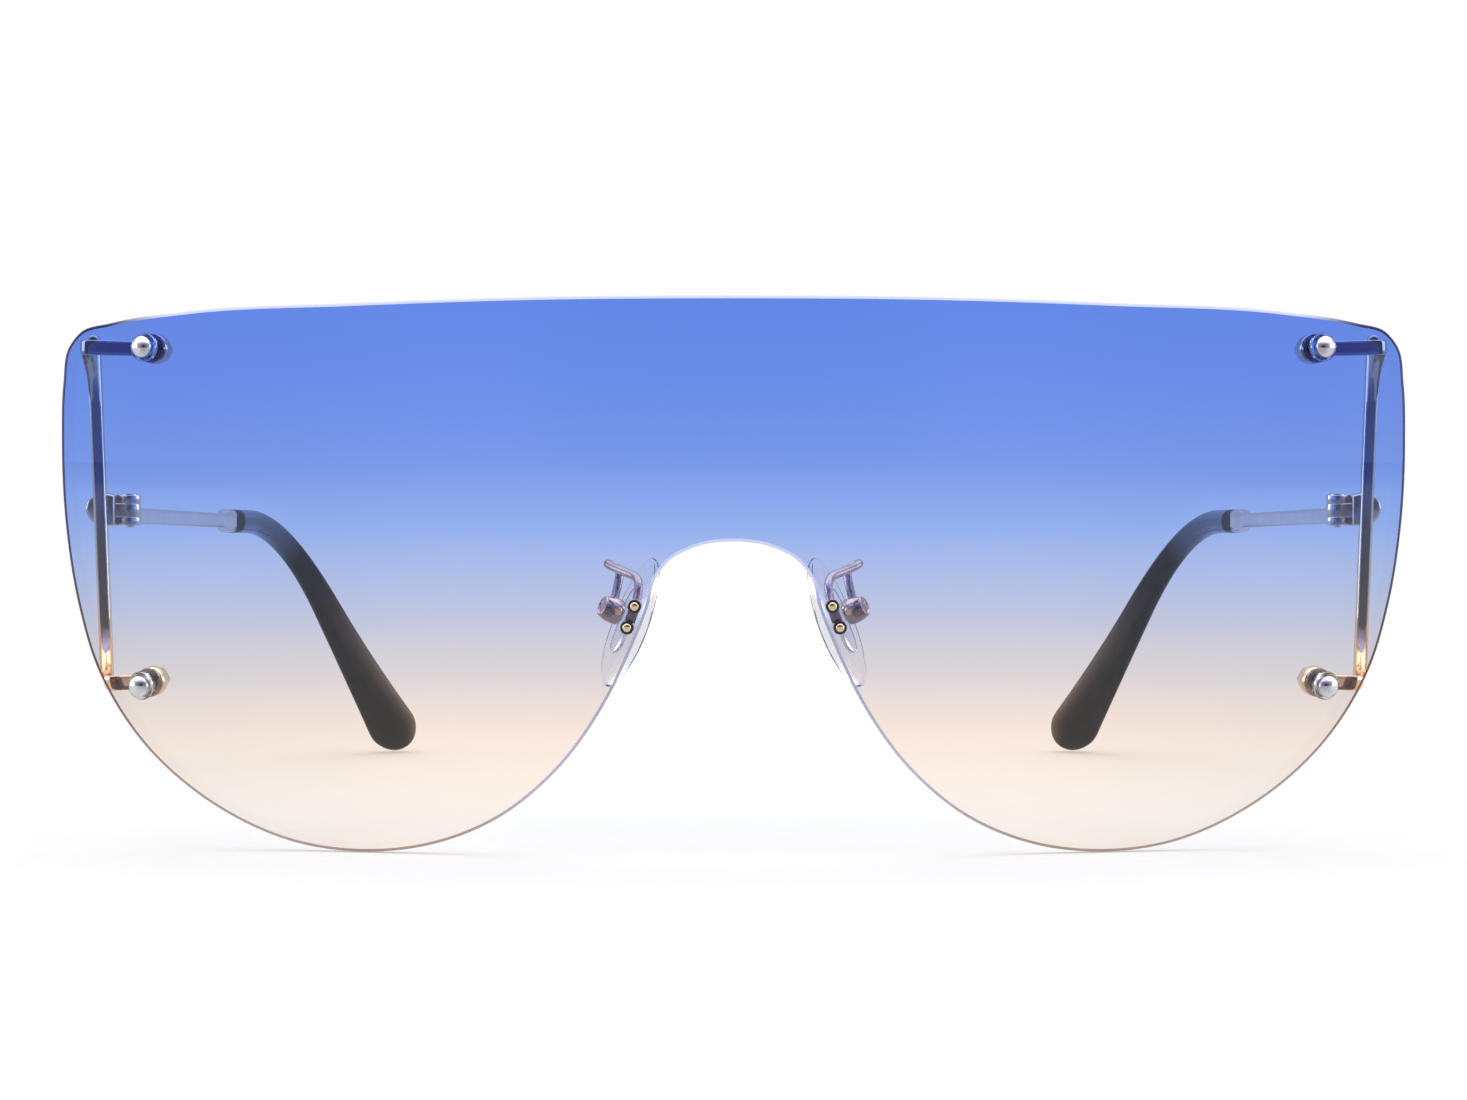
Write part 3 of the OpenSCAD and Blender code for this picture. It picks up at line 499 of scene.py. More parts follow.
def smoky_plastic():
    """Dyed plastic: black over the plug at the mouth, with almost no gloss, which is painted
    shade for the dark inside of the sleeve's opening; a thin dye at the neck, where light
    still comes through; and black again past the ear bend. The share of light follows the
    way back, in metres. Low down, the edge that faces the nose has a painted highlight, a
    paler brown for the light that the thin edge catches: there x times the sideways part of
    the normal is below zero."""
    material, tree, shader = nodes_of("tip_plastic")
    x, y, z = parts_of(tree)
    start, end = NECK_REACH
    along = eased(tree, y, start, end, kind="LINEAR")
    thin = ramp(tree, along, [((at - start) / (end - start), (light,) * 3)
                              for at, light in NECK_LIGHT_AND_MOUTH_SHADE])
    dye = ramp(tree, thin, [(0, TIP_DYE), (1, NECK_DYE)])
    # Painted highlight: a paler brown on the low edge that faces the nose, for the light that the
    # thin edge catches.
    turn = maths(tree, "MULTIPLY", x, parts_of(tree, "Normal")[0])
    edge = maths(tree, "MULTIPLY", eased(tree, turn, *HIGHLIGHT_TURN, 1, 0),
                  eased(tree, z, *HIGHLIGHT_HEIGHT, 1, 0))
    # Almost no gloss at the black mouth, so its painted shade stays dark.
    skin = ramp(tree, along, [(0.17, (0.01,) * 3), (0.2, (0.06,) * 3)])
    feed(tree, shader, {"Base Color": blend(tree, edge, dye, (*EDGE_HIGHLIGHT, 1)), "IOR": 1.45,
                        "Transmission Weight": thin, "Specular IOR Level": skin})
    hazy(tree, shader, 700, 0.12, 0.26)
    return material


rubber = dark_rubber()
tip_plastic = smoky_plastic()
print("finishes made:", len(bpy.data.materials))


# %% [markdown]
# ## Tint of the lens
# The real shield is dyed deep blue at the brow, fades through lilac, and ends almost
# clear with a warm blush at the cheeks. A ramp of seven stops over the height does it.
# Light takes the dye once on its way in, so the ramp holds the colour of the whole sheet.

# %% Tint of the lens
LENS_HEIGHT = 59.3
LENS_IOR = 1.5
SHINE_KEEPS, SHINE_ADDS = 0.93, 0.02
SIDE_REACH, SIDE_DYE = (0.03, 0.07), (0.86, 0.9, 0.93)
TINT_STOPS = [(5, (252, 238, 228)), (12.5, (244, 227, 216)), (18, (224, 214, 213)),
              (24, (200, 201, 220)), (33.5, (157, 180, 235)), (42, (126, 157, 235)),
              (58.8, (106, 140, 233))]
RIM_STOPS = [(0, (186, 164, 154)), (9, (170, 148, 136)), (14, (140, 118, 108)),
             (18, (104, 78, 76)), (27, (84, 76, 92)), (34, (72, 74, 108)),
             (42, (54, 56, 112)), (52, (38, 36, 96)), (58, (36, 32, 84))]
RIM_PALE = (205, 212, 245)
BROW_ENDS, BROW_FOOT, NOSE_ENDS, NOSE_PALE = (0.06, 0.068), (0.024, 0.03), (0.018, 0.03), 0.55


def height_ramp(tree, z, stops, kind="LINEAR"):
    """Colours over the height above the table, given in millimetres."""
    share = eased(tree, z, 0, LENS_HEIGHT * MM, kind="LINEAR")
    return ramp(tree, share, [(height / LENS_HEIGHT, colour) for height, colour in stops], kind)


def through(colour):
    """The dye's share of light behind the shine of both faces."""
    seen = (vec(*linear(*colour)) - SHINE_ADDS) / SHINE_KEEPS
    return tuple(np.clip(seen, 0.002, 0.98).tolist())


def lens_tint():
    """Glass whose colour follows the height, a little deeper at the sides, where sight
    crosses the curved sheet at a slant."""
    material, tree, shader = nodes_of("lens_tint")
    x, _, z = parts_of(tree)
    dye = height_ramp(tree, z, [(height, through(colour)) for height, colour in TINT_STOPS],
                      "CARDINAL")
    aside = eased(tree, maths(tree, "ABSOLUTE", x), *SIDE_REACH, kind="LINEAR")
    feed(tree, shader, {"Base Color": blend(tree, aside, dye, (*SIDE_DYE, 1), "MULTIPLY"),
                        "Transmission Weight": 1, "IOR": LENS_IOR, "Roughness": 0})
    let_lamps_through(tree, shader, dye)
    return material


def lens_rim():
    """The cut and polished edge, seen through the depth of the dye as a darker line. It is
    pale where it faces up to the light, along the brow and round the nose arch."""
    material, tree, shader = nodes_of("lens_rim")
    x, _, z = parts_of(tree)
    line = height_ramp(tree, z, [(height, linear(*colour)) for height, colour in RIM_STOPS])
    aside = maths(tree, "ABSOLUTE", x)
    brow = maths(tree, "MULTIPLY", eased(tree, aside, *BROW_ENDS, 1, 0),
                  eased(tree, z, *BROW_FOOT))
    pale = maths(tree, "MAXIMUM", brow, eased(tree, aside, *NOSE_ENDS, NOSE_PALE, 0))
    feed(tree, shader, {"Base Color": blend(tree, pale, line, paint(RIM_PALE)),
                        "Specular IOR Level": 0.1})
    hazy(tree, shader, 800, 0.12, 0.3)
    return material


tint, rim = lens_tint(), lens_rim()
print("tint has", len(TINT_STOPS), "stops")


# %% [markdown]
# ## Outline of the lens
# The shield is cut from a sphere of clear sheet. Its outline is a smooth curve through
# a few marked points: along the brow, round the corner, down the side, under the lobe
# and up into the nose arch. Each span is a cubic that shares its slope with the next.

# %% Outline of the lens
LENS_WIDTH, LENS_R, LENS_T, LENS_MID_Z = 145, 175, 1.8, 41
OUTLINE = np.array([
    [0, 1], [0.29, 0.9975], [0.56, 0.9875], [0.8, 0.9745], [0.924, 0.953],
    [0.969, 0.938], [0.989, 0.909], [0.9975, 0.844], [1, 0.741], [0.9935, 0.577],
    [0.976, 0.442], [0.948, 0.326], [0.883, 0.1955], [0.774, 0.081], [0.641, 0.012],
    [0.549, 0], [0.4415, 0.0165], [0.349, 0.063], [0.26, 0.1515], [0.184, 0.282],
    [0.15, 0.3685], [0.1225, 0.454], [0.1135, 0.4965], [0.095, 0.5285],
    [0.0555, 0.555], [0, 0.565]]) * (LENS_WIDTH / 2, LENS_HEIGHT)
CORNER, SPAN_STEPS = 5, 24


def smooth_curve(knots):
    """Cubic spans through the knots. The slope at a knot weighs its two chords by each
    other's length, and the ends run on into their mirror image."""
    first, last = knots[1] * (-1, 1), knots[-2] * (-1, 1)
    chord = np.diff(np.vstack([first, knots, last]), axis=0)
    size = np.linalg.norm(chord, axis=-1, keepdims=True)
    h, k = size[:-1], size[1:]
    slope = (chord[:-1] * k / h + chord[1:] * h / k) / (h + k)
    t = (np.arange(SPAN_STEPS) / SPAN_STEPS)[None, :, None]
    a, b = knots[:-1, None], knots[1:, None]
    span = size[1:-1, None]
    curve = (a * (1 + 2 * t) * (1 - t) ** 2 + slope[:-1, None] * span * t * (1 - t) ** 2
             + b * t * t * (3 - 2 * t) + slope[1:, None] * span * t * t * (t - 1))
    return np.vstack([curve.reshape(-1, 2), knots[-1:]])


def even(points, count):
    """The same curve at evenly spaced lengths."""
    size = np.concatenate([[0], np.cumsum(np.linalg.norm(np.diff(points, axis=0), axis=-1))])
    at = np.linspace(0, size[-1], count)
    return np.column_stack([np.interp(at, size, column) for column in points.T])


half_outline = smooth_curve(OUTLINE)
corner_at = CORNER * SPAN_STEPS
print("half outline has", len(half_outline), "points")


# %% [markdown]
# ## Lens sheet
# Columns run from the brow to the lower edge, starting from the outer corners, so the
# grid has a pole in each corner and none in the field of view. Both faces are spheres
# about one centre, and a small round rim joins them, because a sharp edge looks cut from
# paper. The bolt and pin holes are drilled square to the sheet.

# %% Lens sheet
COLUMNS, ROWS = 300, 24
RIM_R, RIM_STEPS, RIM_BAND = 0.32, 4, 0.0015
DRILL_REACH = 3
BOLTS = [(LENS_WIDTH / 2 - 9.5, LENS_HEIGHT - 5.4), (LENS_WIDTH / 2 - 8.9, 17.6)]
PINS = [(10.401, 26.652), (11.201, 24.402)]
BUSH_HOLE_R, PIN_HOLE_R = 0.99, 0.72


def depth_at(x, z, r=LENS_R):
    """Depth of a sphere about the common centre: the lens's radius less the root of r
    squared less x squared and z squared, z counted from the centre's height."""
    return LENS_R - np.sqrt(r * r - x * x - (z - LENS_MID_Z) ** 2)


def inward_normals(loop):
    """Unit normals that point into a closed clockwise loop."""
    way = unit(np.roll(loop, -1, 0) - np.roll(loop, 1, 0))
    return np.column_stack([way[:, 1], -way[:, 0]])


def lens_sheet():
    """Front grid, back grid and rim rings over one closed loop of outline points. A very
    narrow first row keeps the turn of the shading normals at the rim out of the view."""
    halves = [even(half, COLUMNS + 1)
              for half in (half_outline[:corner_at + 1][::-1], half_outline[corner_at:])]
    top, low = [np.vstack([half, (half * (-1, 1))[::-1][1:]]) for half in halves]
    wide = len(top)
    loop = np.vstack([low, top[::-1][1:-1]])
    inward = inward_normals(loop) * RIM_R
    inset = loop + inward
    low_in = inset[:wide]
    top_in = np.vstack([inset[:1], inset[wide:][::-1], inset[wide - 1:wide]])
    inner = np.linspace(0, 1, ROWS + 1)[1:-1]
    t = np.concatenate([[0, RIM_BAND], inner, [1 - RIM_BAND, 1]])[None, :, None]
    sheet = low_in[:, None] * (1 - t) + top_in[:, None] * t
    x, z = sheet[..., 0], sheet[..., 1]
    faces = [np.stack([x, depth_at(x, z, r), z], -1) for r in (LENS_R, LENS_R - LENS_T)]
    turn = np.linspace(0, np.pi / 2, RIM_STEPS + 1)[1:]
    rings = []
    for angles, radius, way in ((turn, LENS_R, RIM_R), (turn[::-1], LENS_R - LENS_T, -RIM_R)):
        for a in angles:
            x, z = (loop + inward * (1 - np.sin(a))).T
            rings.append(np.stack([x, depth_at(x, z, radius) + way * (1 - np.cos(a)), z], -1))
    return *faces, np.array(rings)


def lens_mesh():
    """Number the grid so that both faces and the rim share their border points. Each pole
    is one point, so its faces lose their doubled corner."""
    front, back, rings = lens_sheet()
    wide, high = front.shape[:2]
    points = np.vstack([part.reshape(-1, 3) for part in (front, back, rings)])
    number = np.arange(wide * high).reshape(wide, high)
    number[[0, -1]] = number[[0, -1], :1]
    a, b, c, d = number[:-1, :-1], number[1:, :-1], number[1:, 1:], number[:-1, 1:]
    quads = np.stack([d, c, b, a], -1).reshape(-1, 4)
    sheet = []
    for side in (quads, quads[:, ::-1] + wide * high):
        doubled = (side == np.roll(side, -1, 1)).any(1)
        poles = [[v for k, v in enumerate(f) if v != f[k - 1]] for f in side[doubled].tolist()]
        sheet += side[~doubled].tolist() + [f for f in poles if len(f) == 3]
    border = np.concatenate([number[:, 0], number[::-1, -1][1:-1]])
    n = len(border)
    ring_numbers = 2 * wide * high + np.arange(len(rings) * n).reshape(len(rings), n)
    chain = np.vstack([border, ring_numbers, border + wide * high])
    p, q = chain[:-1], chain[1:]
    walls = np.stack([p, np.roll(p, -1, 1), np.roll(q, -1, 1), q], -1).reshape(-1, 4)
    return points, sheet, walls.tolist()


def out_at(spot):
    """The lens's outward normal at a spot: from the common centre to the front face."""
    x, z = spot
    return vec(x, depth_at(x, z) - LENS_R, z - LENS_MID_Z) / LENS_R


def on_lens(spot):
    """Origin on the front face, and axes along the face, up the face and out of it."""
    out = out_at(spot)
    x, z = spot
    turn, tilt = math.atan2(out[1], out[0]), math.acos(out[2])
    side_way = vec(math.cos(turn) * math.cos(tilt), math.sin(turn) * math.cos(tilt),
                   -math.sin(tilt))
    up_way = vec(-math.sin(turn), math.cos(turn), 0)
    return vec(x, depth_at(x, z), z), np.stack([side_way, up_way, out])


def behind(spot, gap):
    """The point so far behind the front face, along the normal."""
    return on_lens(spot)[0] - out_at(spot) * gap


def stood(shape, spots):
    """The same shape stood on the lens at each spot, its z along the normal."""
    return [placed(shape, *on_lens(spot)) for spot in spots]


points, sheet_faces, walls = lens_mesh()
lens_data = bpy.data.meshes.new("shield")
lens_data.from_pydata(points.tolist(), [], sheet_faces + walls)
lens_data.materials.append(tint)
lens_data.materials.append(rim)
lens_data.polygons.foreach_set("material_index", [0] * len(sheet_faces) + [1] * len(walls))
shield = show("shield", lens_data)
print("lens has", len(lens_data.polygons), "faces")


# %% [markdown]
# ## Drilled lens
# Loose points of the two poles are dropped, and the eight holes are cut. The walls of
# the holes take the tint, since light comes through the bushes in them.

# %% Drill the lens
import bmesh

grid = bmesh.new()
grid.from_mesh(lens_data)
bmesh.ops.delete(grid, geom=[v for v in grid.verts if not v.link_faces], context="VERTS")
bmesh.ops.recalc_face_normals(grid, faces=grid.faces)
grid.to_mesh(lens_data)
grid.free()
for spots, radius in ((BOLTS, BUSH_HOLE_R), (PINS, PIN_HOLE_R)):
    drill = turned([(radius, -LENS_T - DRILL_REACH), (radius, DRILL_REACH)], 48)
    for points, faces in stood(drill, spots):
        twin = points * MIRROR, [part[:, ::-1] for part in faces]
        carve(shield, [(points, faces), twin], "DIFFERENCE")
settle(shield)
soften(shield, 40)
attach(shield, "frame")
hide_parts("shield_lens")
print("the drilled lens has", len(shield.data.polygons), "faces")


# %% [markdown]
# ## Bolts, bushes, washers and nuts
# Each bracket is held by two bolts with polished round heads. A clear top-hat bush lines
# the hole, a clear washer keeps the metal off the sheet, and a hexagon nut closes it
# behind the eyelet. All but the nut are lathe work, so they are turned profiles.

# %% Bolts, bushes and washers
GAP = 0.02
BOLT_R, BOLT_END, THREAD_PITCH, THREAD_DEPTH = 0.6, 0.35, 0.25, 0.07
HEAD_R, HEAD_RIM, DOME_H = 1.15, 0.5, 0.6
BUSH_R, FLANGE_T, LIP_R, SLEEVE_R = 1.55, 0.5, 0.2, 0.97
WASHER_T, EYELET_T, EYELET_R = 0.5, 1.24, 1.6
NUT_AF, NUT_T, NUT_FACE = 2.4, 1.0, 0.97
BORE_R = BOLT_R + GAP
WASHER_TOP = -LENS_T - GAP
EYELET_TOP = WASHER_TOP - WASHER_T
NUT_TOP = EYELET_TOP - EYELET_T
SHANK_END = NUT_TOP - NUT_T - BOLT_END


def bolt_profile():
    """A threaded shank, a flat under the head, a short rim and a round cap: the cap's point
    at angle t is its radius times sin t out and times cos t up."""
    low = FLANGE_T + GAP
    high = low + HEAD_RIM
    z = np.linspace(SHANK_END + 0.12, NUT_TOP - 0.1, 60)
    wave = 1 - np.cos(2 * np.pi * z / THREAD_PITCH)
    thread = np.column_stack([BOLT_R - THREAD_DEPTH / 2 * wave, z])
    dome_r = (HEAD_R ** 2 / DOME_H + DOME_H) / 2
    t = np.linspace(math.asin(HEAD_R / dome_r) - 0.04, 0.02, 18)
    dome = np.column_stack([dome_r * np.sin(t), high + DOME_H - dome_r * (1 - np.cos(t))])
    end = [(0.05, SHANK_END), (BOLT_R - 0.14, SHANK_END), (BOLT_R - 0.06, SHANK_END + 0.06)]
    head = [(BOLT_R, NUT_TOP), (BOLT_R, low), (HEAD_R - 0.08, low), (HEAD_R - 0.02, low + 0.02),
            (HEAD_R, low + 0.08), (HEAD_R, high - 0.06), (HEAD_R - 0.015, high)]
    return np.vstack([end, thread, head, dome])


def washer_shape(inner, outer, low, high, edge):
    """A turned ring with rounded corners: the bore's side is an outside turned about."""
    bore = rim_profile(inner, low, high, edge)[::-1] * (-1, 1) + (2 * inner, 0)
    return turned(np.vstack([rim_profile(outer, low, high, edge), bore]), joined=True)


def bush_shape():
    """A top hat: a thin sleeve in the hole and a rounded flange on the lens's front."""
    high = GAP + FLANGE_T
    s, c = quarter(LIP_R, 4)
    sleeve = [(BORE_R, -LENS_T), (SLEEVE_R - 0.05, -LENS_T), (SLEEVE_R, -LENS_T + 0.05),
              (SLEEVE_R, GAP), (BUSH_R - 0.06, GAP), (BUSH_R, GAP + 0.06)]
    return turned(np.vstack([sleeve, np.column_stack([BUSH_R - c, high - s]),
                             [(BORE_R + 0.06, high), (BORE_R, high - 0.06)]]), joined=True)


def nut_shape():
    """A hexagon whose corners are chamfered: at each height the radius is the smaller of
    the hexagon's and of a cone that opens at 30 degrees from the flat face."""
    low, high = NUT_TOP - NUT_T, NUT_TOP
    a = circle(96, 0)
    hexagon = NUT_AF / 2 / np.cos((a + np.pi / 6) % (np.pi / 3) - np.pi / 6)
    inset = vec(0, 0.03, 0.08, 0.16)
    cone = NUT_AF / 2 * NUT_FACE + inset / math.tan(math.radians(30))
    side = np.minimum(hexagon, cone[:, None])
    bore = [BORE_R + 0.1, BORE_R, BORE_R, BORE_R + 0.1]
    r = np.vstack([side, side[::-1], np.tile(bore, (len(a), 1)).T])
    z = np.concatenate([low + inset, high - inset[::-1], [high, high - 0.1, low + 0.1, low]])
    return loft(np.stack([r * np.cos(a), r * np.sin(a), z[:, None] + 0 * a], -1), joined=True)


washer = washer_shape(BORE_R, BUSH_R, WASHER_TOP - WASHER_T, WASHER_TOP, 0.12)
for name, shape, finish, slot, node in (
        ("left_bolts", turned(bolt_profile()), chrome, "chrome", "lens_bolts"),
        ("left_bushes", bush_shape(), clear_plastic, "clear_plastic", "lens_bushes"),
        ("left_washers", washer, clear_plastic, "clear_plastic", "back_washers"),
        ("left_nuts", nut_shape(), chrome, "chrome", "hex_nuts")):
    both_sides(group(name, stood(shape, BOLTS)), finish, "frame", node)


# %% [markdown]
# ## Side bracket
# The bracket is the most skilful part of the pair. A flat arm leaves each eyelet along
# the lens, turns back through a tight bend and ends on an upright, with a curved web in
# each joint, so the metal looks like one bent wire. Each of these is swept or cut on its
# own and then merged, as the real ones are soldered.

# %% Side bracket
ARM_T, ARM_BEND, ARM_RUN = 1.0, 1.5, 9.3
WIRE_T, WIRE_H = 1.4, 1.65
WEB_R, WEB_SHARE, WEB_SINK = 6.5, 0.8, 0.2
UPRIGHT_PROUD = 1.4
BACK = vec(0, 1, 0)
arm_back = EYELET_T / 2 - EYELET_TOP


def corner_of(spot, x):
    """Where an arm that follows the lens reaches x."""
    start, out = behind(spot, arm_back), out_at(spot)
    return vec(x, start[1] + out[0] * (x - start[0]) / -out[1], spot[1])


upper_corner = corner_of(BOLTS[0], LENS_WIDTH / 2 - 2.5)
lower_corner = corner_of(BOLTS[1], LENS_WIDTH / 2 - 4.7)
upright_back = upper_corner[1] + ARM_RUN
upright_top = vec(LENS_WIDTH / 2 - 2.4, upright_back, upper_corner[2])
upright_foot = vec(LENS_WIDTH / 2 - 3.7, upright_back, lower_corner[2])
upright_way = unit(upright_top - upright_foot)


def bent(p, q, s, r, steps=14):
    """A round bend at q between p and s: the points turn about a middle on the bisector."""
    u, v = unit(p - q), unit(s - q)
    half = math.acos(u @ v) / 2
    turn = math.pi - 2 * half
    middle = q + unit(u + v) * r / math.sin(half)
    a, b = q + u * r / math.tan(half) - middle, q + v * r / math.tan(half) - middle
    t = np.linspace(0, 1, steps)[:, None]
    return middle + (a * np.sin((1 - t) * turn) + b * np.sin(t * turn)) / math.sin(turn)


def arm_shape(spot, corner, joint):
    """A flat strip with soft edges from the eyelet round its bend to the upright."""
    start = behind(spot, arm_back)
    path = np.vstack([start, bent(start, corner, joint, ARM_BEND), joint])
    return loft(swept(path, (0, 0, 1), ARM_T, WIRE_H, 6, 36))


def web_shape(corner, joint, way):
    """A corner plate whose free side is a quarter circle between the arm and the upright."""
    run = unit(corner - joint)
    rise = square_to(upright_way * way, run)
    reach = WEB_R + WIRE_H / 2 - 0.15
    a = np.linspace(0, np.pi / 2, 22)
    arc = np.column_stack([reach - WEB_R * np.sin(a), reach - WEB_R * np.cos(a)])
    outline = np.vstack([[(-WEB_SINK, -WEB_SINK), (reach, -WEB_SINK)], arc,
                         [(-WEB_SINK, reach)]])
    half = WIRE_T * WEB_SHARE / 2
    return placed(slab(outline, -half, half, 0.12), joint, [run, rise, np.cross(run, rise)])


def upright_shape():
    """The straight bar: a strip whose ends are half round as seen from the front."""
    length = np.linalg.norm(upright_top - upright_foot) + 2 * UPRIGHT_PROUD
    plate = slab(stadium(length, WIRE_T / 2, 18), -WIRE_H / 2, WIRE_H / 2, 0.3, 5)
    return placed(plate, (upright_top + upright_foot) / 2,
                  [np.cross(upright_way, BACK), upright_way, BACK])


eyelet = turned([(EYELET_R - 0.2, NUT_TOP), (EYELET_R - 0.06, NUT_TOP + 0.06),
                 (EYELET_R, NUT_TOP + 0.2), (EYELET_R, EYELET_TOP - 0.2),
                 (EYELET_R - 0.06, EYELET_TOP - 0.06), (EYELET_R - 0.2, EYELET_TOP)])
eyelet_bore = turned([(BORE_R, NUT_TOP - 1), (BORE_R, EYELET_TOP + 1)], 48)
bracket = solid("left_bracket", [
    upright_shape(), arm_shape(BOLTS[0], upper_corner, upright_top),
    arm_shape(BOLTS[1], lower_corner, upright_foot), web_shape(upper_corner, upright_top, -1),
    web_shape(lower_corner, upright_foot, 1), *stood(eyelet, BOLTS)],
    stood(eyelet_bore, BOLTS))
both_sides(bracket, gold, "frame", "side_bracket")


# %% [markdown]
# ## Hinge
# The end piece is a rounded block on the back of the upright, with the middle knuckle of
# a three-knuckle hinge. The screw goes down through all three. The knuckles are short
# cylinders in the real hinge as well, turned and soldered to their blocks.

# %% End piece and hinge screw
HINGE_Z, HINGE_H, MID_H = 36, 3.35, 1.45
PIVOT_INSET, PIVOT_BACK = 2.7, 3.3
KNUCKLE_R, BLOCK_R = 1.2, 1.8
SCREW_R, SCREW_HEAD_R, SCREW_HEAD_T = 0.5, 0.85, 0.45
RUN_GAP = 0.04
BASE_INNER = KNUCKLE_R + 0.1
TONGUE_D = KNUCKLE_R * 0.9
OUTER_H = (HINGE_H - MID_H) / 2 - RUN_GAP
hinge_share = (HINGE_Z - upright_foot[2]) / (upright_top[2] - upright_foot[2])
pivot = vec(upright_foot[0] + (upright_top[0] - upright_foot[0]) * hinge_share - PIVOT_INSET,
            upright_back + WIRE_H / 2 + PIVOT_BACK, HINGE_Z)
print("hinge pivot at", np.round(pivot, 3))


def knuckle(low, high, edge=0.1):
    """A short cylinder about the pivot with softened rims."""
    return placed(turned(rim_profile(KNUCKLE_R, low, high, edge), 56), pivot)


def tube(radius, low, high):
    """A plain cylinder about the pivot, used as a drill or a cutter."""
    return placed(turned([(radius, low), (radius, high)], 48), pivot)


def end_block():
    """A rounded block across the upright: a strip with one half-round end, swept back, its
    free end softened by a larger radius."""
    a = np.linspace(-np.pi / 2, np.pi / 2, 28)
    outer = np.column_stack([PIVOT_INSET - 0.05 + BLOCK_R * np.cos(a), 0.2 + BLOCK_R * np.sin(a)])
    outline = np.vstack([outer, [(BASE_INNER, HINGE_H / 2), (BASE_INNER, -HINGE_H / 2)]])
    return placed(slab(outline, 0, PIVOT_BACK, 0.28, 5), pivot, [(1, 0, 0), (0, 0, 1), -BACK])


def middle_arm():
    """The tongue that carries the middle knuckle."""
    width = BASE_INNER + KNUCKLE_R / 4
    return block((width, TONGUE_D, MID_H), pivot + vec(width, -TONGUE_D, 0) / 2, 0.08)


end_piece = solid(
    "left_end_piece_block", [end_block(), middle_arm(), knuckle(-MID_H / 2, MID_H / 2)],
    [tube(SCREW_R + RUN_GAP, -3, 3), tube(BASE_INNER, MID_H / 2, MID_H / 2 + 3),
     tube(BASE_INNER, -MID_H / 2 - 3, -MID_H / 2)])
both_sides(end_piece, gold, "frame", "end_piece")


def screw_shape(radius, head_r, low, head_low, head_high, edge=0.08):
    """A small screw: a pointed-off shank, a flat head with a soft rim."""
    return turned([(0.04, low), (radius - 0.12, low), (radius, low + 0.12), (radius, head_low),
                   (head_r - edge / 2, head_low), (head_r, head_low + edge / 2),
                   (head_r, head_high - edge), (head_r - 0.3 * edge, head_high - 0.3 * edge),
                   (head_r - edge, head_high), (0.04, head_high)], 48)


def slot_cutter(width, length, depth, top):
    """The driver's slot, as a thin block sunk in the head."""
    return block((length, width, 2 * depth), (0, 0, top), 0.02)


screw_top = HINGE_H / 2 + 0.125
screw = screw_shape(SCREW_R, SCREW_HEAD_R, -HINGE_H / 2 - 0.25, HINGE_H / 2 - SCREW_HEAD_T,
                    screw_top)
hinge_screw = solid("left_hinge_pin", [placed(screw, pivot)],
                    [placed(slot_cutter(0.26, 4, 0.22, screw_top), pivot)])
both_sides(hinge_screw, gold, "frame", "hinge_screw")


# %% [markdown]
# ## Temple
# A temple is a flat spring strip with a taller end plate at the hinge. Towards the ear it
# flares into a neck and goes on as a thin core inside the plastic tip. One skin of
# superellipse sections holds all of it: boxy on the strip and rounder at the neck.

# %% Temple
TEMPLE_T, TEMPLE_H, TEMPLE_RUN, STRIP_POWER, NECK_POWER = 1.0, 1.8, 82, 7, 3
SLOPE_ANGLE = math.radians(2.2)
CLOSE, SLOPE = math.tan(math.radians(3.3)), math.tan(SLOPE_ANGLE)
BUTT, LEAF_REACH, PLATE_LEN, FLARE_LEN = 0.06, 2.4, 3.2, 6
FLARE_AT = [0, 0.2, 0.42, 0.7, 1]
FLARE_TALL, FLARE_THICK = [0, 0.12, 0.7, 1, 0.95], [0, 0.05, 0.45, 0.85, 1]
TIP_H, TIP_T = 3.0, 2.6
PLUG_LEN, PLUG_H, PLUG_T = 3.2, 1.9, 1.6
CORE_LEN, CORE_W, CORE_POWER = 25, 1.1, 2.6
EAR_LEAD, EAR_R, EAR_BEND = 7.5, 25.5, math.radians(57)
TIP_FOOT_Z, TOE_IN, TOE_POWER = 0.6, 16.5, 1.3
root = pivot + vec(LEAF_REACH, BUTT, 0)
temple_way = vec(-CLOSE, 1, -SLOPE)
strip_drop = vec(0, 0, (HINGE_H - TEMPLE_H) / 2 * 0.6)
mouth = root + temple_way * TEMPLE_RUN - strip_drop
ear_arc = EAR_R * EAR_BEND
ear_slope = SLOPE_ANGLE + EAR_BEND
lead_cos, lead_sin = math.cos(SLOPE_ANGLE), math.sin(SLOPE_ANGLE)
arc_end_z = mouth[2] - EAR_LEAD * lead_sin - EAR_R * (lead_cos - math.cos(ear_slope))
TIP_LEN = EAR_LEAD + ear_arc + (arc_end_z - TIP_FOOT_Z) / math.sin(ear_slope)
print("tip runs", round(TIP_LEN, 2), "mm from", np.round(mouth, 2))


def tip_at(s):
    """The middle line of the tip: straight, then an arc down behind the ear, then straight,
    while it curves in by a power of the length."""
    slope = SLOPE_ANGLE + np.clip(s - EAR_LEAD, 0, ear_arc) / EAR_R
    lead, tail = np.minimum(s, EAR_LEAD), np.maximum(s - EAR_LEAD - ear_arc, 0)
    back = lead * lead_cos + EAR_R * (np.sin(slope) - lead_sin) + tail * math.cos(ear_slope)
    down = lead * lead_sin + EAR_R * (lead_cos - np.cos(slope)) + tail * math.sin(ear_slope)
    inward = CLOSE * s + TOE_IN * (s / TIP_LEN) ** TOE_POWER
    return mouth + np.stack([-inward, back, -down], -1)


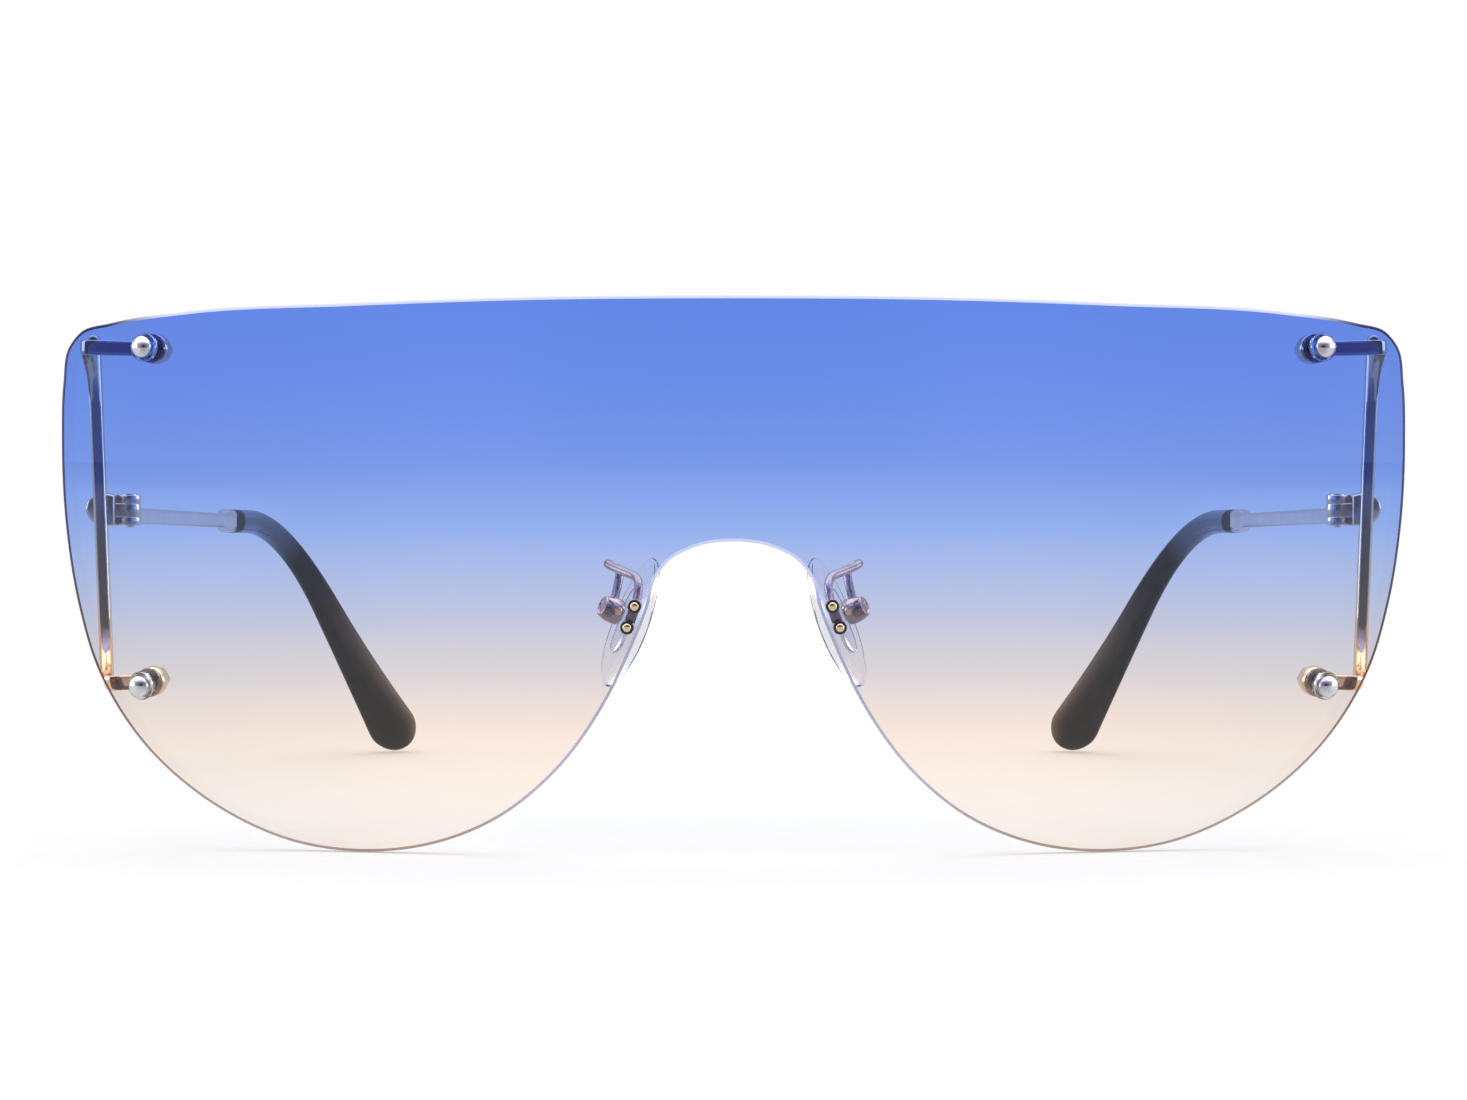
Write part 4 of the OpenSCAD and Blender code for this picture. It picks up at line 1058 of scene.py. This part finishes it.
def core_rings(grow=0.0, count=40):
    """Sections of the core along the tip's middle line. Its width and height ease from the
    plug at the mouth down to the thin wire."""
    s = np.concatenate([np.linspace(0, PLUG_LEN, 5), PLUG_LEN * vec(1.06, 1.12, 1.19),
                        np.linspace(PLUG_LEN * 1.25, CORE_LEN, 24)])
    t = ease((s - PLUG_LEN) / (PLUG_LEN / 4))
    width, height = (plug + (CORE_W - plug) * t + 2 * grow for plug in (PLUG_T, PLUG_H))
    return swept(tip_at(s), (0, 0, 1), width, height, CORE_POWER, count)


def strip_rings(count=40):
    """End plate, ease down to the strip, the long strip, and the flare at the neck. All
    sections stand upright and face straight back."""
    start = root + BACK * PLATE_LEN
    strip_start = root + temple_way * PLATE_LEN * 2 - strip_drop
    strip_end = mouth - temple_way * FLARE_LEN
    e, r, f = np.linspace(0, 1, 12), np.linspace(0, 1, 14)[1:-1], np.linspace(0, 1, 18)
    path = np.vstack([root, (root + start) / 2, start + (strip_start - start) * e[:, None],
                      strip_start + (strip_end - strip_start) * r[:, None],
                      strip_end + (mouth - strip_end) * f[:, None]])
    tall, thick = (np.interp(f, FLARE_AT, levels) for levels in (FLARE_TALL, FLARE_THICK))
    before = np.ones(len(path) - len(f))
    width = np.concatenate([TEMPLE_T * before, TEMPLE_T + (TIP_T - TEMPLE_T) * thick * 0.9])
    height = np.concatenate([[HINGE_H, HINGE_H], HINGE_H + (TEMPLE_H - HINGE_H) * ease(e),
                             np.full(len(r), TEMPLE_H), TEMPLE_H + (TIP_H - TEMPLE_H) * tall])
    power = np.concatenate([STRIP_POWER * before,
                            STRIP_POWER + (NECK_POWER - STRIP_POWER) * thick])
    shape = superellipse(count, power)[:, ::-1] / 2
    x = path[:, :1] + shape[..., 0] * width[:, None]
    z = path[:, 2:] + shape[..., 1] * height[:, None]
    return np.stack([x, path[:, 1:2] + 0 * x, z], -1)


def hinge_leaf(way):
    """One outer knuckle with the tongue that joins it to the end plate."""
    middle = way * (HINGE_H - OUTER_H) / 2
    tongue = block((LEAF_REACH, TONGUE_D, OUTER_H),
                   pivot + vec(LEAF_REACH / 2, BUTT + TONGUE_D / 2, middle), 0.06)
    return [knuckle(middle - OUTER_H / 2, middle + OUTER_H / 2, 0.08), tongue]


temple = solid("left_temple_strip", [loft(np.concatenate([strip_rings(), core_rings()])),
                                     *hinge_leaf(-1), *hinge_leaf(1)],
               [tube(SCREW_R + GAP, -3, 3),
                tube(SCREW_HEAD_R + GAP, HINGE_H / 2 - SCREW_HEAD_T - GAP, HINGE_H / 2 + 2)])
both_sides(temple, champagne, "left_temple_arm", "temple")


# %% [markdown]
# ## Temple tip
# The tip is a moulded sleeve. It is nearly round at its mouth, bends down behind the ear,
# and grows into a paddle that twists to lie flat against the head. The skin starts inside
# the bore, turns at the mouth and runs along the outside, so the sleeve is one closed
# surface with a real wall thickness.

# %% Temple tip
PADDLE_H, PADDLE_T, TWIST = 6.6, 3.2, math.radians(43)
TIP_NOSE, TIP_POWER, TIP_COUNT = 4, 2.3, 48
BORE_GAP = 0.05


def tip_rings():
    """Sections whose width, thickness and twist follow the length, closing as a half round."""
    s = np.concatenate([np.linspace(0, TIP_LEN - TIP_NOSE, 60)[:-1],
                        TIP_LEN - quarter(TIP_NOSE, 15)[0]])
    grow = np.clip((s / TIP_LEN - 0.3) / 0.65, 0, 1) ** 2.1
    t = np.clip((s - TIP_LEN + TIP_NOSE) / TIP_NOSE, 0, 1)
    shut = np.sqrt(1 - (0.97 * t) ** 2)
    turn = TWIST * ease((s / TIP_LEN - 0.2) / 0.8)[:, None]
    path = tip_at(s)
    ahead = travel(path)
    up = square_to((0, 0, 1), ahead)
    up_turned = up * np.cos(turn) + np.cross(up, ahead) * np.sin(turn)
    return swept(path, up_turned, (TIP_T + (PADDLE_T - TIP_T) * grow) * shut,
                 (TIP_H + (PADDLE_H - TIP_H) * grow) * shut, TIP_POWER, TIP_COUNT)


def tip_shape():
    """The bore from its end out to the mouth, then the outside from the mouth to the paddle."""
    bore = core_rings(BORE_GAP, TIP_COUNT)
    bore[-1] += unit(bore[-1].mean(0) - bore[-2].mean(0)) * BORE_GAP
    outside = tip_rings()
    middle = outside[0].mean(0)
    lip = middle + (outside[:1] - middle) * 0.95
    outside[0] += (outside[1] - outside[0]) * 0.08
    return loft(np.concatenate([bore[::-1], lip, outside]))


both_sides(solid("left_tip_sleeve", [tip_shape()]), tip_plastic, "left_temple_arm",
           "temple_tip")


# %% [markdown]
# ## Pad arm
# Two small pins go through the lens beside the nose and are gripped by dark bushes. A
# plate joins them behind the sheet, and a thin wire leaves it in an S that ends on a
# round box with a slot. The wire is a tube carried along a smooth curve.

# %% Pad arm
PIN_R, PIN_PROUD, PIN_DOME, PIN_BUSH_R = 0.45, 0.25, 0.16, 0.7
WIRE_R = 0.46
PLATE_T, PLATE_R, PLATE_SKIN = 0.8, 0.575, 0.03
PAD_PIVOT = vec(12.701, 9.5, 25.902)
PAD_TURN, PAD_SPLAY = math.radians(24), math.radians(22)
BOX_R, BOX_LEN, BOX_LIP = 1.4, 2.2, 0.7
BOX_BULGE, BOX_SHOULDER, END_R = 0.16, 0.22, 0.92
LUG_T, LUG_R = 1.2, 0.9
PAD_SCREW_R, PAD_HEAD_R = 0.35, 0.5
REACH = vec(3.1, 7.5, 4.2)
WIRE_SHARES = np.array([[-0.06, 0.06, 0.23], [-0.09, 0.12, 0.48], [0.02, 0.27, 0.67],
                        [0.4, 0.52, 0.78], [0.8, 0.78, 0.88], [0.99, 0.92, 0.95],
                        [0.95, 1.04, 0.94], [0.72, 1.06, 0.86], [0.6, 1, 0.68]])
ct, st = math.cos(PAD_TURN), math.sin(PAD_TURN)
cs, ss = math.cos(PAD_SPLAY), math.sin(PAD_SPLAY)
PAD_AXES = np.array([[cs * ct, -cs * st, ss], [st, ct, 0], [-ss * ct, ss * st, cs]])
ALONG_BOX = [(0, 0, -1), (0, 1, 0), (1, 0, 0)]
TO_BACK = [(1, 0, 0), (0, 0, -1), (0, 1, 0)]
TO_FRONT = [(1, 0, 0), (0, 0, 1), (0, -1, 0)]
plate_top = -LENS_T - GAP
plate_low = plate_top - PLATE_T
pad_head_back = BOX_R * 0.72


def at_pad(shape, axes=LEVEL, middle=(0, 0, 0)):
    """A shape laid along axes about the pad's screw: x out along the box, y back, z up."""
    return placed(placed(shape, middle, axes), PAD_PIVOT, PAD_AXES)


def pin_shape():
    """A pin with a domed end that stands just proud of the lens."""
    a = np.linspace(0, np.pi / 2, 8)[:-1]
    dome = np.column_stack([PIN_R * np.cos(a), PIN_PROUD - PIN_DOME * (1 - np.sin(a))])
    foot = [(0.05, plate_low), (PIN_R + 0.05, plate_low), (PIN_R + 0.15, plate_low + 0.1),
            (PIN_R + 0.15, plate_top - 0.04), (PIN_R, plate_top)]
    return turned(np.vstack([foot, dome, [(0.02, PIN_PROUD)]]), 40)


def plate_shape():
    """The bar between the pins, a strip with round ends and soft rims."""
    gap = behind(PINS[1], LENS_T) - behind(PINS[0], LENS_T)
    lean = math.atan2(gap[0], -gap[2]) + math.pi / 2
    c, s = math.cos(lean), math.sin(lean)
    outline = stadium(np.linalg.norm(gap) + 2 * PLATE_R, PLATE_R) @ [(c, s), (-s, c)]
    skin = PLATE_T * PLATE_SKIN
    return placed(slab(outline, plate_low + skin, plate_top - skin, 0.12),
                  *on_lens(np.mean(PINS, 0)))


def smooth_path(knots, steps=10):
    """A curve through all knots, each span a cubic set by its neighbours."""
    knots = np.vstack([knots[:1], knots, knots[-1:]])
    a, b, c, d = (knots[k:len(knots) - 3 + k, None] for k in range(4))
    t = (np.arange(steps) / steps)[None, :, None]
    path = b + ((c - a) * t + (2 * a - 5 * b + 4 * c - d) * t ** 2
                + (3 * b - a - 3 * c + d) * t ** 3) / 2
    return np.vstack([path.reshape(-1, knots.shape[1]), knots[-1:]])


def pad_wire():
    """The S-shaped wire from the upper pin to the back of the box."""
    start = behind(PINS[0], PLATE_T * 0.55 - plate_top)
    end = PAD_PIVOT + vec(0.4, 0, BOX_R - 0.25) @ PAD_AXES
    path = smooth_path(np.vstack([start, start + WIRE_SHARES * REACH, end]))
    up, ups = (1, 0, 0), []
    for way in travel(path):
        up = square_to(up, way)
        ups.append(up)
    return loft(swept(path, ups, 2 * WIRE_R, 2 * WIRE_R, 2, 24))


def box_shape():
    """The pad box: a short barrel along the pad's x, whose side bulges by a square of the
    way along it, with a round shoulder and a dished end."""
    low, high = -BOX_LIP, BOX_LEN - BOX_LIP
    t = np.linspace(0.1, 0.75, 8)
    s, c = quarter(0.14)
    shoulder_s, shoulder_c = quarter(BOX_SHOULDER)
    profile = np.vstack([
        np.column_stack([BOX_R * 0.97 - s, low + c]),
        np.column_stack([BOX_R - BOX_BULGE * (2 * t - 0.6) ** 2, low + BOX_LEN * t]),
        np.column_stack([END_R + BOX_SHOULDER - shoulder_c, high - shoulder_s]),
        [(END_R - 0.08, high - 0.06), (END_R - 0.16, high - 0.14)]])
    return at_pad(turned(profile, 56), ALONG_BOX)


def across_pad(radius, low, high):
    """A cylinder along the pad's y, from low to high."""
    return at_pad(turned([(radius, low), (radius, high)], 40), TO_BACK)


slot_cut = at_pad(block((3, LUG_T + 2 * RUN_GAP, 2 * (LUG_R + 0.15)), (LUG_R - 1.4, 0, 0), 0.05))
pad_arm = solid("left_nose_arm", [
    plate_shape(), *stood(pin_shape(), PINS), pad_wire(), box_shape()],
    [slot_cut, across_pad(PAD_SCREW_R + GAP, -3, 3),
     across_pad(PAD_HEAD_R + GAP, -3, -pad_head_back)])
both_sides(pad_arm, rose, "frame", "pad_arm")

grip = washer_shape(PIN_R + GAP, PIN_BUSH_R, -LENS_T, 0, 0.05)
both_sides(group("left_pin_grips", stood(grip, PINS)), rubber, "frame",
           "pin_bushes")


# %% [markdown]
# ## Pad screw and insert
# The pad rocks on a tiny screw through the box. Its clear insert has a round lug on the
# screw and an oval plate that is moulded into the back of the silicone.

# %% Pad screw and insert
PAD_DROP = 0.5
PAD_FACE = -BOX_LIP - 0.75
INSERT_T, INSERT_W, INSERT_LEN = 0.6, 3, 7.4
pad_head_top = pad_head_back + 0.3
screw = screw_shape(PAD_SCREW_R, PAD_HEAD_R, -pad_head_back, pad_head_back, pad_head_top, 0.06)
slot = slot_cutter(0.14, 2, 0.14, pad_head_top)
pad_screw = solid("left_pad_pin", [at_pad(screw, TO_FRONT)], [at_pad(slot, TO_FRONT)])
both_sides(pad_screw, gold, "frame", "pad_screw")


def oval_plate(grow=0.0, edge=0.12):
    """The insert's oval plate, its thickness along the pad's x."""
    outline = stadium(INSERT_LEN + 2 * grow, INSERT_W / 2 + grow)
    return at_pad(slab(outline, 0, INSERT_T + grow, edge), [(0, 1, 0), (0, 0, 1), (1, 0, 0)],
                  (PAD_FACE - INSERT_T - grow, 0, -PAD_DROP))


def lug_shape():
    """The round lug on the screw and the neck that joins it to the plate."""
    half = LUG_T / 2
    disc = turned([(LUG_R - 0.08, -half), (LUG_R, 0.08 - half), (LUG_R, half - 0.08),
                   (LUG_R - 0.08, half)], 48)
    start = PAD_FACE - INSERT_T / 2
    neck = block((-start, LUG_T - 0.02, 2 * LUG_R * 0.94), (start / 2, 0, 0), 0.08)
    return [at_pad(disc, TO_FRONT), at_pad(neck)]


insert = solid("left_pad_clip", [oval_plate(), *lug_shape()],
               [across_pad(PAD_SCREW_R + RUN_GAP, -3, 3)])
both_sides(insert, clear_plastic, "left_pad", "pad_insert")


# %% [markdown]
# ## Nose pad
# The pads are soft clear silicone, an oval that is fuller at its foot and crowned towards
# the nose, with a pocket in its back. A smooth curve of shares carries its outline from
# the back over the crown, so the light rolls over it without a facet.

# %% Nose pad
PAD_LEN, PAD_W, PAD_T, PAD_SOFT = 14.6, 6.4, 2.2, 0.7
LAYERS = np.array([[0, 0.88], [0.12, 0.96], [0.35, 1], [0.62, 0.96], [0.82, 0.84],
                   [0.94, 0.66], [1, 0.42]])


def pad_body(count=72):
    """Rings of an egg-shaped outline, each a share of the full one, stacked from the back
    to the crown: narrow upwards by 0.12 of the sine, and closed by a pole."""
    back = np.column_stack([np.zeros(3), np.linspace(0.3, 0.8, 3)])
    crown = np.column_stack([np.ones(4), np.linspace(0.42, 0.03, 5)[1:]])
    layer = np.vstack([back, smooth_path(LAYERS, 5), crown])
    a = circle(count)
    depth, size = layer[:, :1], layer[:, 1:]
    width = -PAD_W / 2 * size * np.cos(a) * (1 - 0.12 * np.sin(a))
    height = PAD_LEN / 2 * (0.6 * size + 0.4 * size ** 2) * np.sin(a) - PAD_DROP
    return at_pad(loft(np.stack([PAD_FACE - depth * PAD_T + 0 * a, width, height], -1)))


def pocket_mouth():
    """The open back of the pocket."""
    return at_pad(block((1, INSERT_W + 2 * RUN_GAP, INSERT_LEN),
                        (PAD_FACE - RUN_GAP + 0.5, 0, -PAD_DROP), 0.02))


pad = solid("left_soft_pad", [pad_body()], [oval_plate(RUN_GAP, 0.02), pocket_mouth()])
both_sides(pad, silicone, "left_pad", "nose_pad")


# %% [markdown]
# ## Table and light
# The pair stands on plain white paper. Most of what the eye sees of it is plain white, so
# the ground is white without lighting the object harder, and the rest takes the lamps'
# soft contact shadows. Mirrors see it at lower levels, as dim as the room at that side,
# and this gives the thin metal its edges.

# %% Table
TABLE_SIZE = 3.0
TABLE_DROP = 0.0001
SHADOW_SHARE, SHADOW_REACH = 0.55, (0.1, 0.45)
TABLE_DIMS = [(-3.0, (0.08, 0.07, 0.1)), (-1.8, (0.18, 0.15, 0.24)), (-1.0, (0.27, 0.22, 0.38)),
              (-0.8, (0.32, 0.27, 0.42)), (-0.64, (0.55, 0.47, 0.6)),
              (-0.48, (0.57, 0.53, 0.62)), (-0.2, (0.56, 0.55, 0.56)), (-0.1, (0.6, 0.6, 0.6)),
              (0, (0.9, 0.9, 0.9))]
TABLE_SIDE, TABLE_NEAR, TABLE_SLANT = (-0.04, 0.05), (-0.75, -0.4), 0.75
TABLE_FLANK = (0.95, 0.95, 0.95, 1)


def table_finish():
    """White paper: a share of plain white, and the rest lit by the lamps to hold a shadow.
    Away from the pair the white share grows to the whole, so the ground has no end. In
    mirrors its front is as dim as the wall there, and its flanks, where the distance aside
    outgrows 0.75 of the distance forward, are bright."""
    material, tree, shader = nodes_of("table_paper")
    tone = ramp(tree, object_noise(tree, 260, 4), [(0.3, (0.9, 0.9, 0.905)), (0.7, (0.93,) * 3)])
    feed(tree, shader, {"Base Color": tone, "Roughness": 0.9, "Specular IOR Level": 0})
    path = add(tree, "ShaderNodeLightPath").outputs
    x, y, _ = parts_of(tree)
    far = TABLE_DIMS[0][0]
    dim = ramp(tree, eased(tree, y, far, 0, kind="LINEAR"),
               [(1 - at / far, colour) for at, colour in TABLE_DIMS])
    slant = maths(tree, "MULTIPLY_ADD", y, TABLE_SLANT, maths(tree, "ABSOLUTE", x))
    flank = maths(tree, "MULTIPLY", eased(tree, slant, *TABLE_SIDE), eased(tree, y, *TABLE_NEAR))
    level = blend(tree, path["Glossy Depth"], WHITE, blend(tree, flank, dim, TABLE_FLANK))
    glow = add(tree, "ShaderNodeEmission", {"Color": level}).outputs["Emission"]
    place = add(tree, "ShaderNodeTexCoord").outputs["Object"]
    reach = add(tree, "ShaderNodeVectorMath", {0: place}, operation="LENGTH").outputs["Value"]
    seen = maths(tree, "MAXIMUM", path["Is Camera Ray"], path["Is Glossy Ray"])
    seen = maths(tree, "MAXIMUM", seen, path["Is Transmission Ray"])
    share = maths(tree, "MULTIPLY", seen, eased(tree, reach, *SHADOW_REACH, 1 - SHADOW_SHARE))
    whole = maths(tree, "MAXIMUM", share, path["Glossy Depth"], use_clamp=True)
    mixed_surface(tree, whole, shader.outputs["BSDF"], glow)
    return material


corners = vec(-1, -1, 0), vec(1, -1, 0), vec(1, 1, 0), vec(-1, 1, 0)
table = bpy.data.meshes.new("table")
table.from_pydata([corner * TABLE_SIZE - vec(0, 0, TABLE_DROP) for corner in corners],
                  [], [(0, 1, 2, 3)])
table.materials.append(table_finish())
table_piece = show("table", table)
print("table is", 2 * TABLE_SIZE, "m wide")


# %% [markdown]
# ## Room and lamps
# The room lights the shine of the metal. It is dim behind the camera, with a dark spot
# where the camera stands, and has soft boxes at the sides and overhead. Three area lamps
# give the soft contact shadows, and mirrors don't see them.

# %% Room and lamps
DIFFUSE_LEVEL = (0.78, 0.78, 0.78, 1)
STRIP_LIGHT, STRIP_REACH = 5, (0.84, 0.93)
CEILING_LIGHT, CEILING_REACH = 3.2, (0.4, 0.85)
CAMERA_WAY = (0, -0.9968, 0.08)
ROOM_STOPS = [(0, (0.8, 0.8, 0.81)), (0.38, (0.9, 0.9, 0.9)), (0.64, (0.8, 0.8, 0.8)),
              (0.79, (0.6, 0.6, 0.62)), (0.83, (0.46, 0.39, 0.54)), (0.91, (0.3, 0.26, 0.4)),
              (0.975, (0.24, 0.19, 0.35)), (0.988, (0.05, 0.05, 0.05)), (1, (0.02, 0.02, 0.02))]
LAMPS = [("overhead", (0, 0.05, 0.9), 0.9, 3.4), ("left_fill", (-0.7, -0.55, 0.55), 0.5, 1.0),
         ("right_fill", (0.7, -0.55, 0.55), 0.5, 1.0)]
LAMP_AIM = (0, 0, 0.03)


def room():
    """A white room for the eye and for glass, and an even one for plain light. For shine the
    wall's level follows the direction's part towards the camera, carried from -1 and 1 to
    0 and 1, and is multiplied by the stronger of the side boxes and the ceiling."""
    world = bpy.data.worlds.new("studio")
    world.use_nodes = True
    bpy.context.scene.world = world
    tree = world.node_tree
    path = add(tree, "ShaderNodeLightPath").outputs
    way = add(tree, "ShaderNodeTexCoord").outputs["Generated"]
    facing = add(tree, "ShaderNodeVectorMath", {0: way, 1: CAMERA_WAY}, operation="DOT_PRODUCT")
    share = eased(tree, facing.outputs["Value"], -1, 1, kind="LINEAR")
    x, _, z = parts_of(tree, "Generated")
    strip = eased(tree, maths(tree, "ABSOLUTE", x), *STRIP_REACH, 1, STRIP_LIGHT)
    ceiling = eased(tree, z, *CEILING_REACH, 1, CEILING_LIGHT)
    power = maths(tree, "MAXIMUM", strip, ceiling)
    shine = add(tree, "ShaderNodeVectorMath", {0: ramp(tree, share, ROOM_STOPS), "Scale": power},
                operation="SCALE").outputs["Vector"]
    lit = blend(tree, path["Glossy Depth"], DIFFUSE_LEVEL, shine)
    seen = maths(tree, "MAXIMUM", path["Is Camera Ray"], path["Is Transmission Ray"])
    direct = maths(tree, "MULTIPLY", seen,
                    maths(tree, "GREATER_THAN", 0.5, path["Glossy Depth"]))
    feed(tree, tree.nodes["Background"], {"Color": blend(tree, direct, lit, WHITE)})


room()
for name, place, size, power in LAMPS:
    lamp = bpy.data.lights.new(name, "AREA")
    lamp.size = size
    lamp.energy = power
    lamp_object = bpy.data.objects.new(name, lamp)
    lamp_object.location = place
    lamp_object.visible_glossy = False
    aim = vec(*LAMP_AIM) - vec(*place)
    lamp_object.rotation_euler = (math.atan2(math.hypot(aim[0], aim[1]), -aim[2]), 0,
                                  math.atan2(-aim[0], aim[1]))
    bpy.context.scene.collection.objects.link(lamp_object)
print("lamps:", [name for name, *_ in LAMPS])
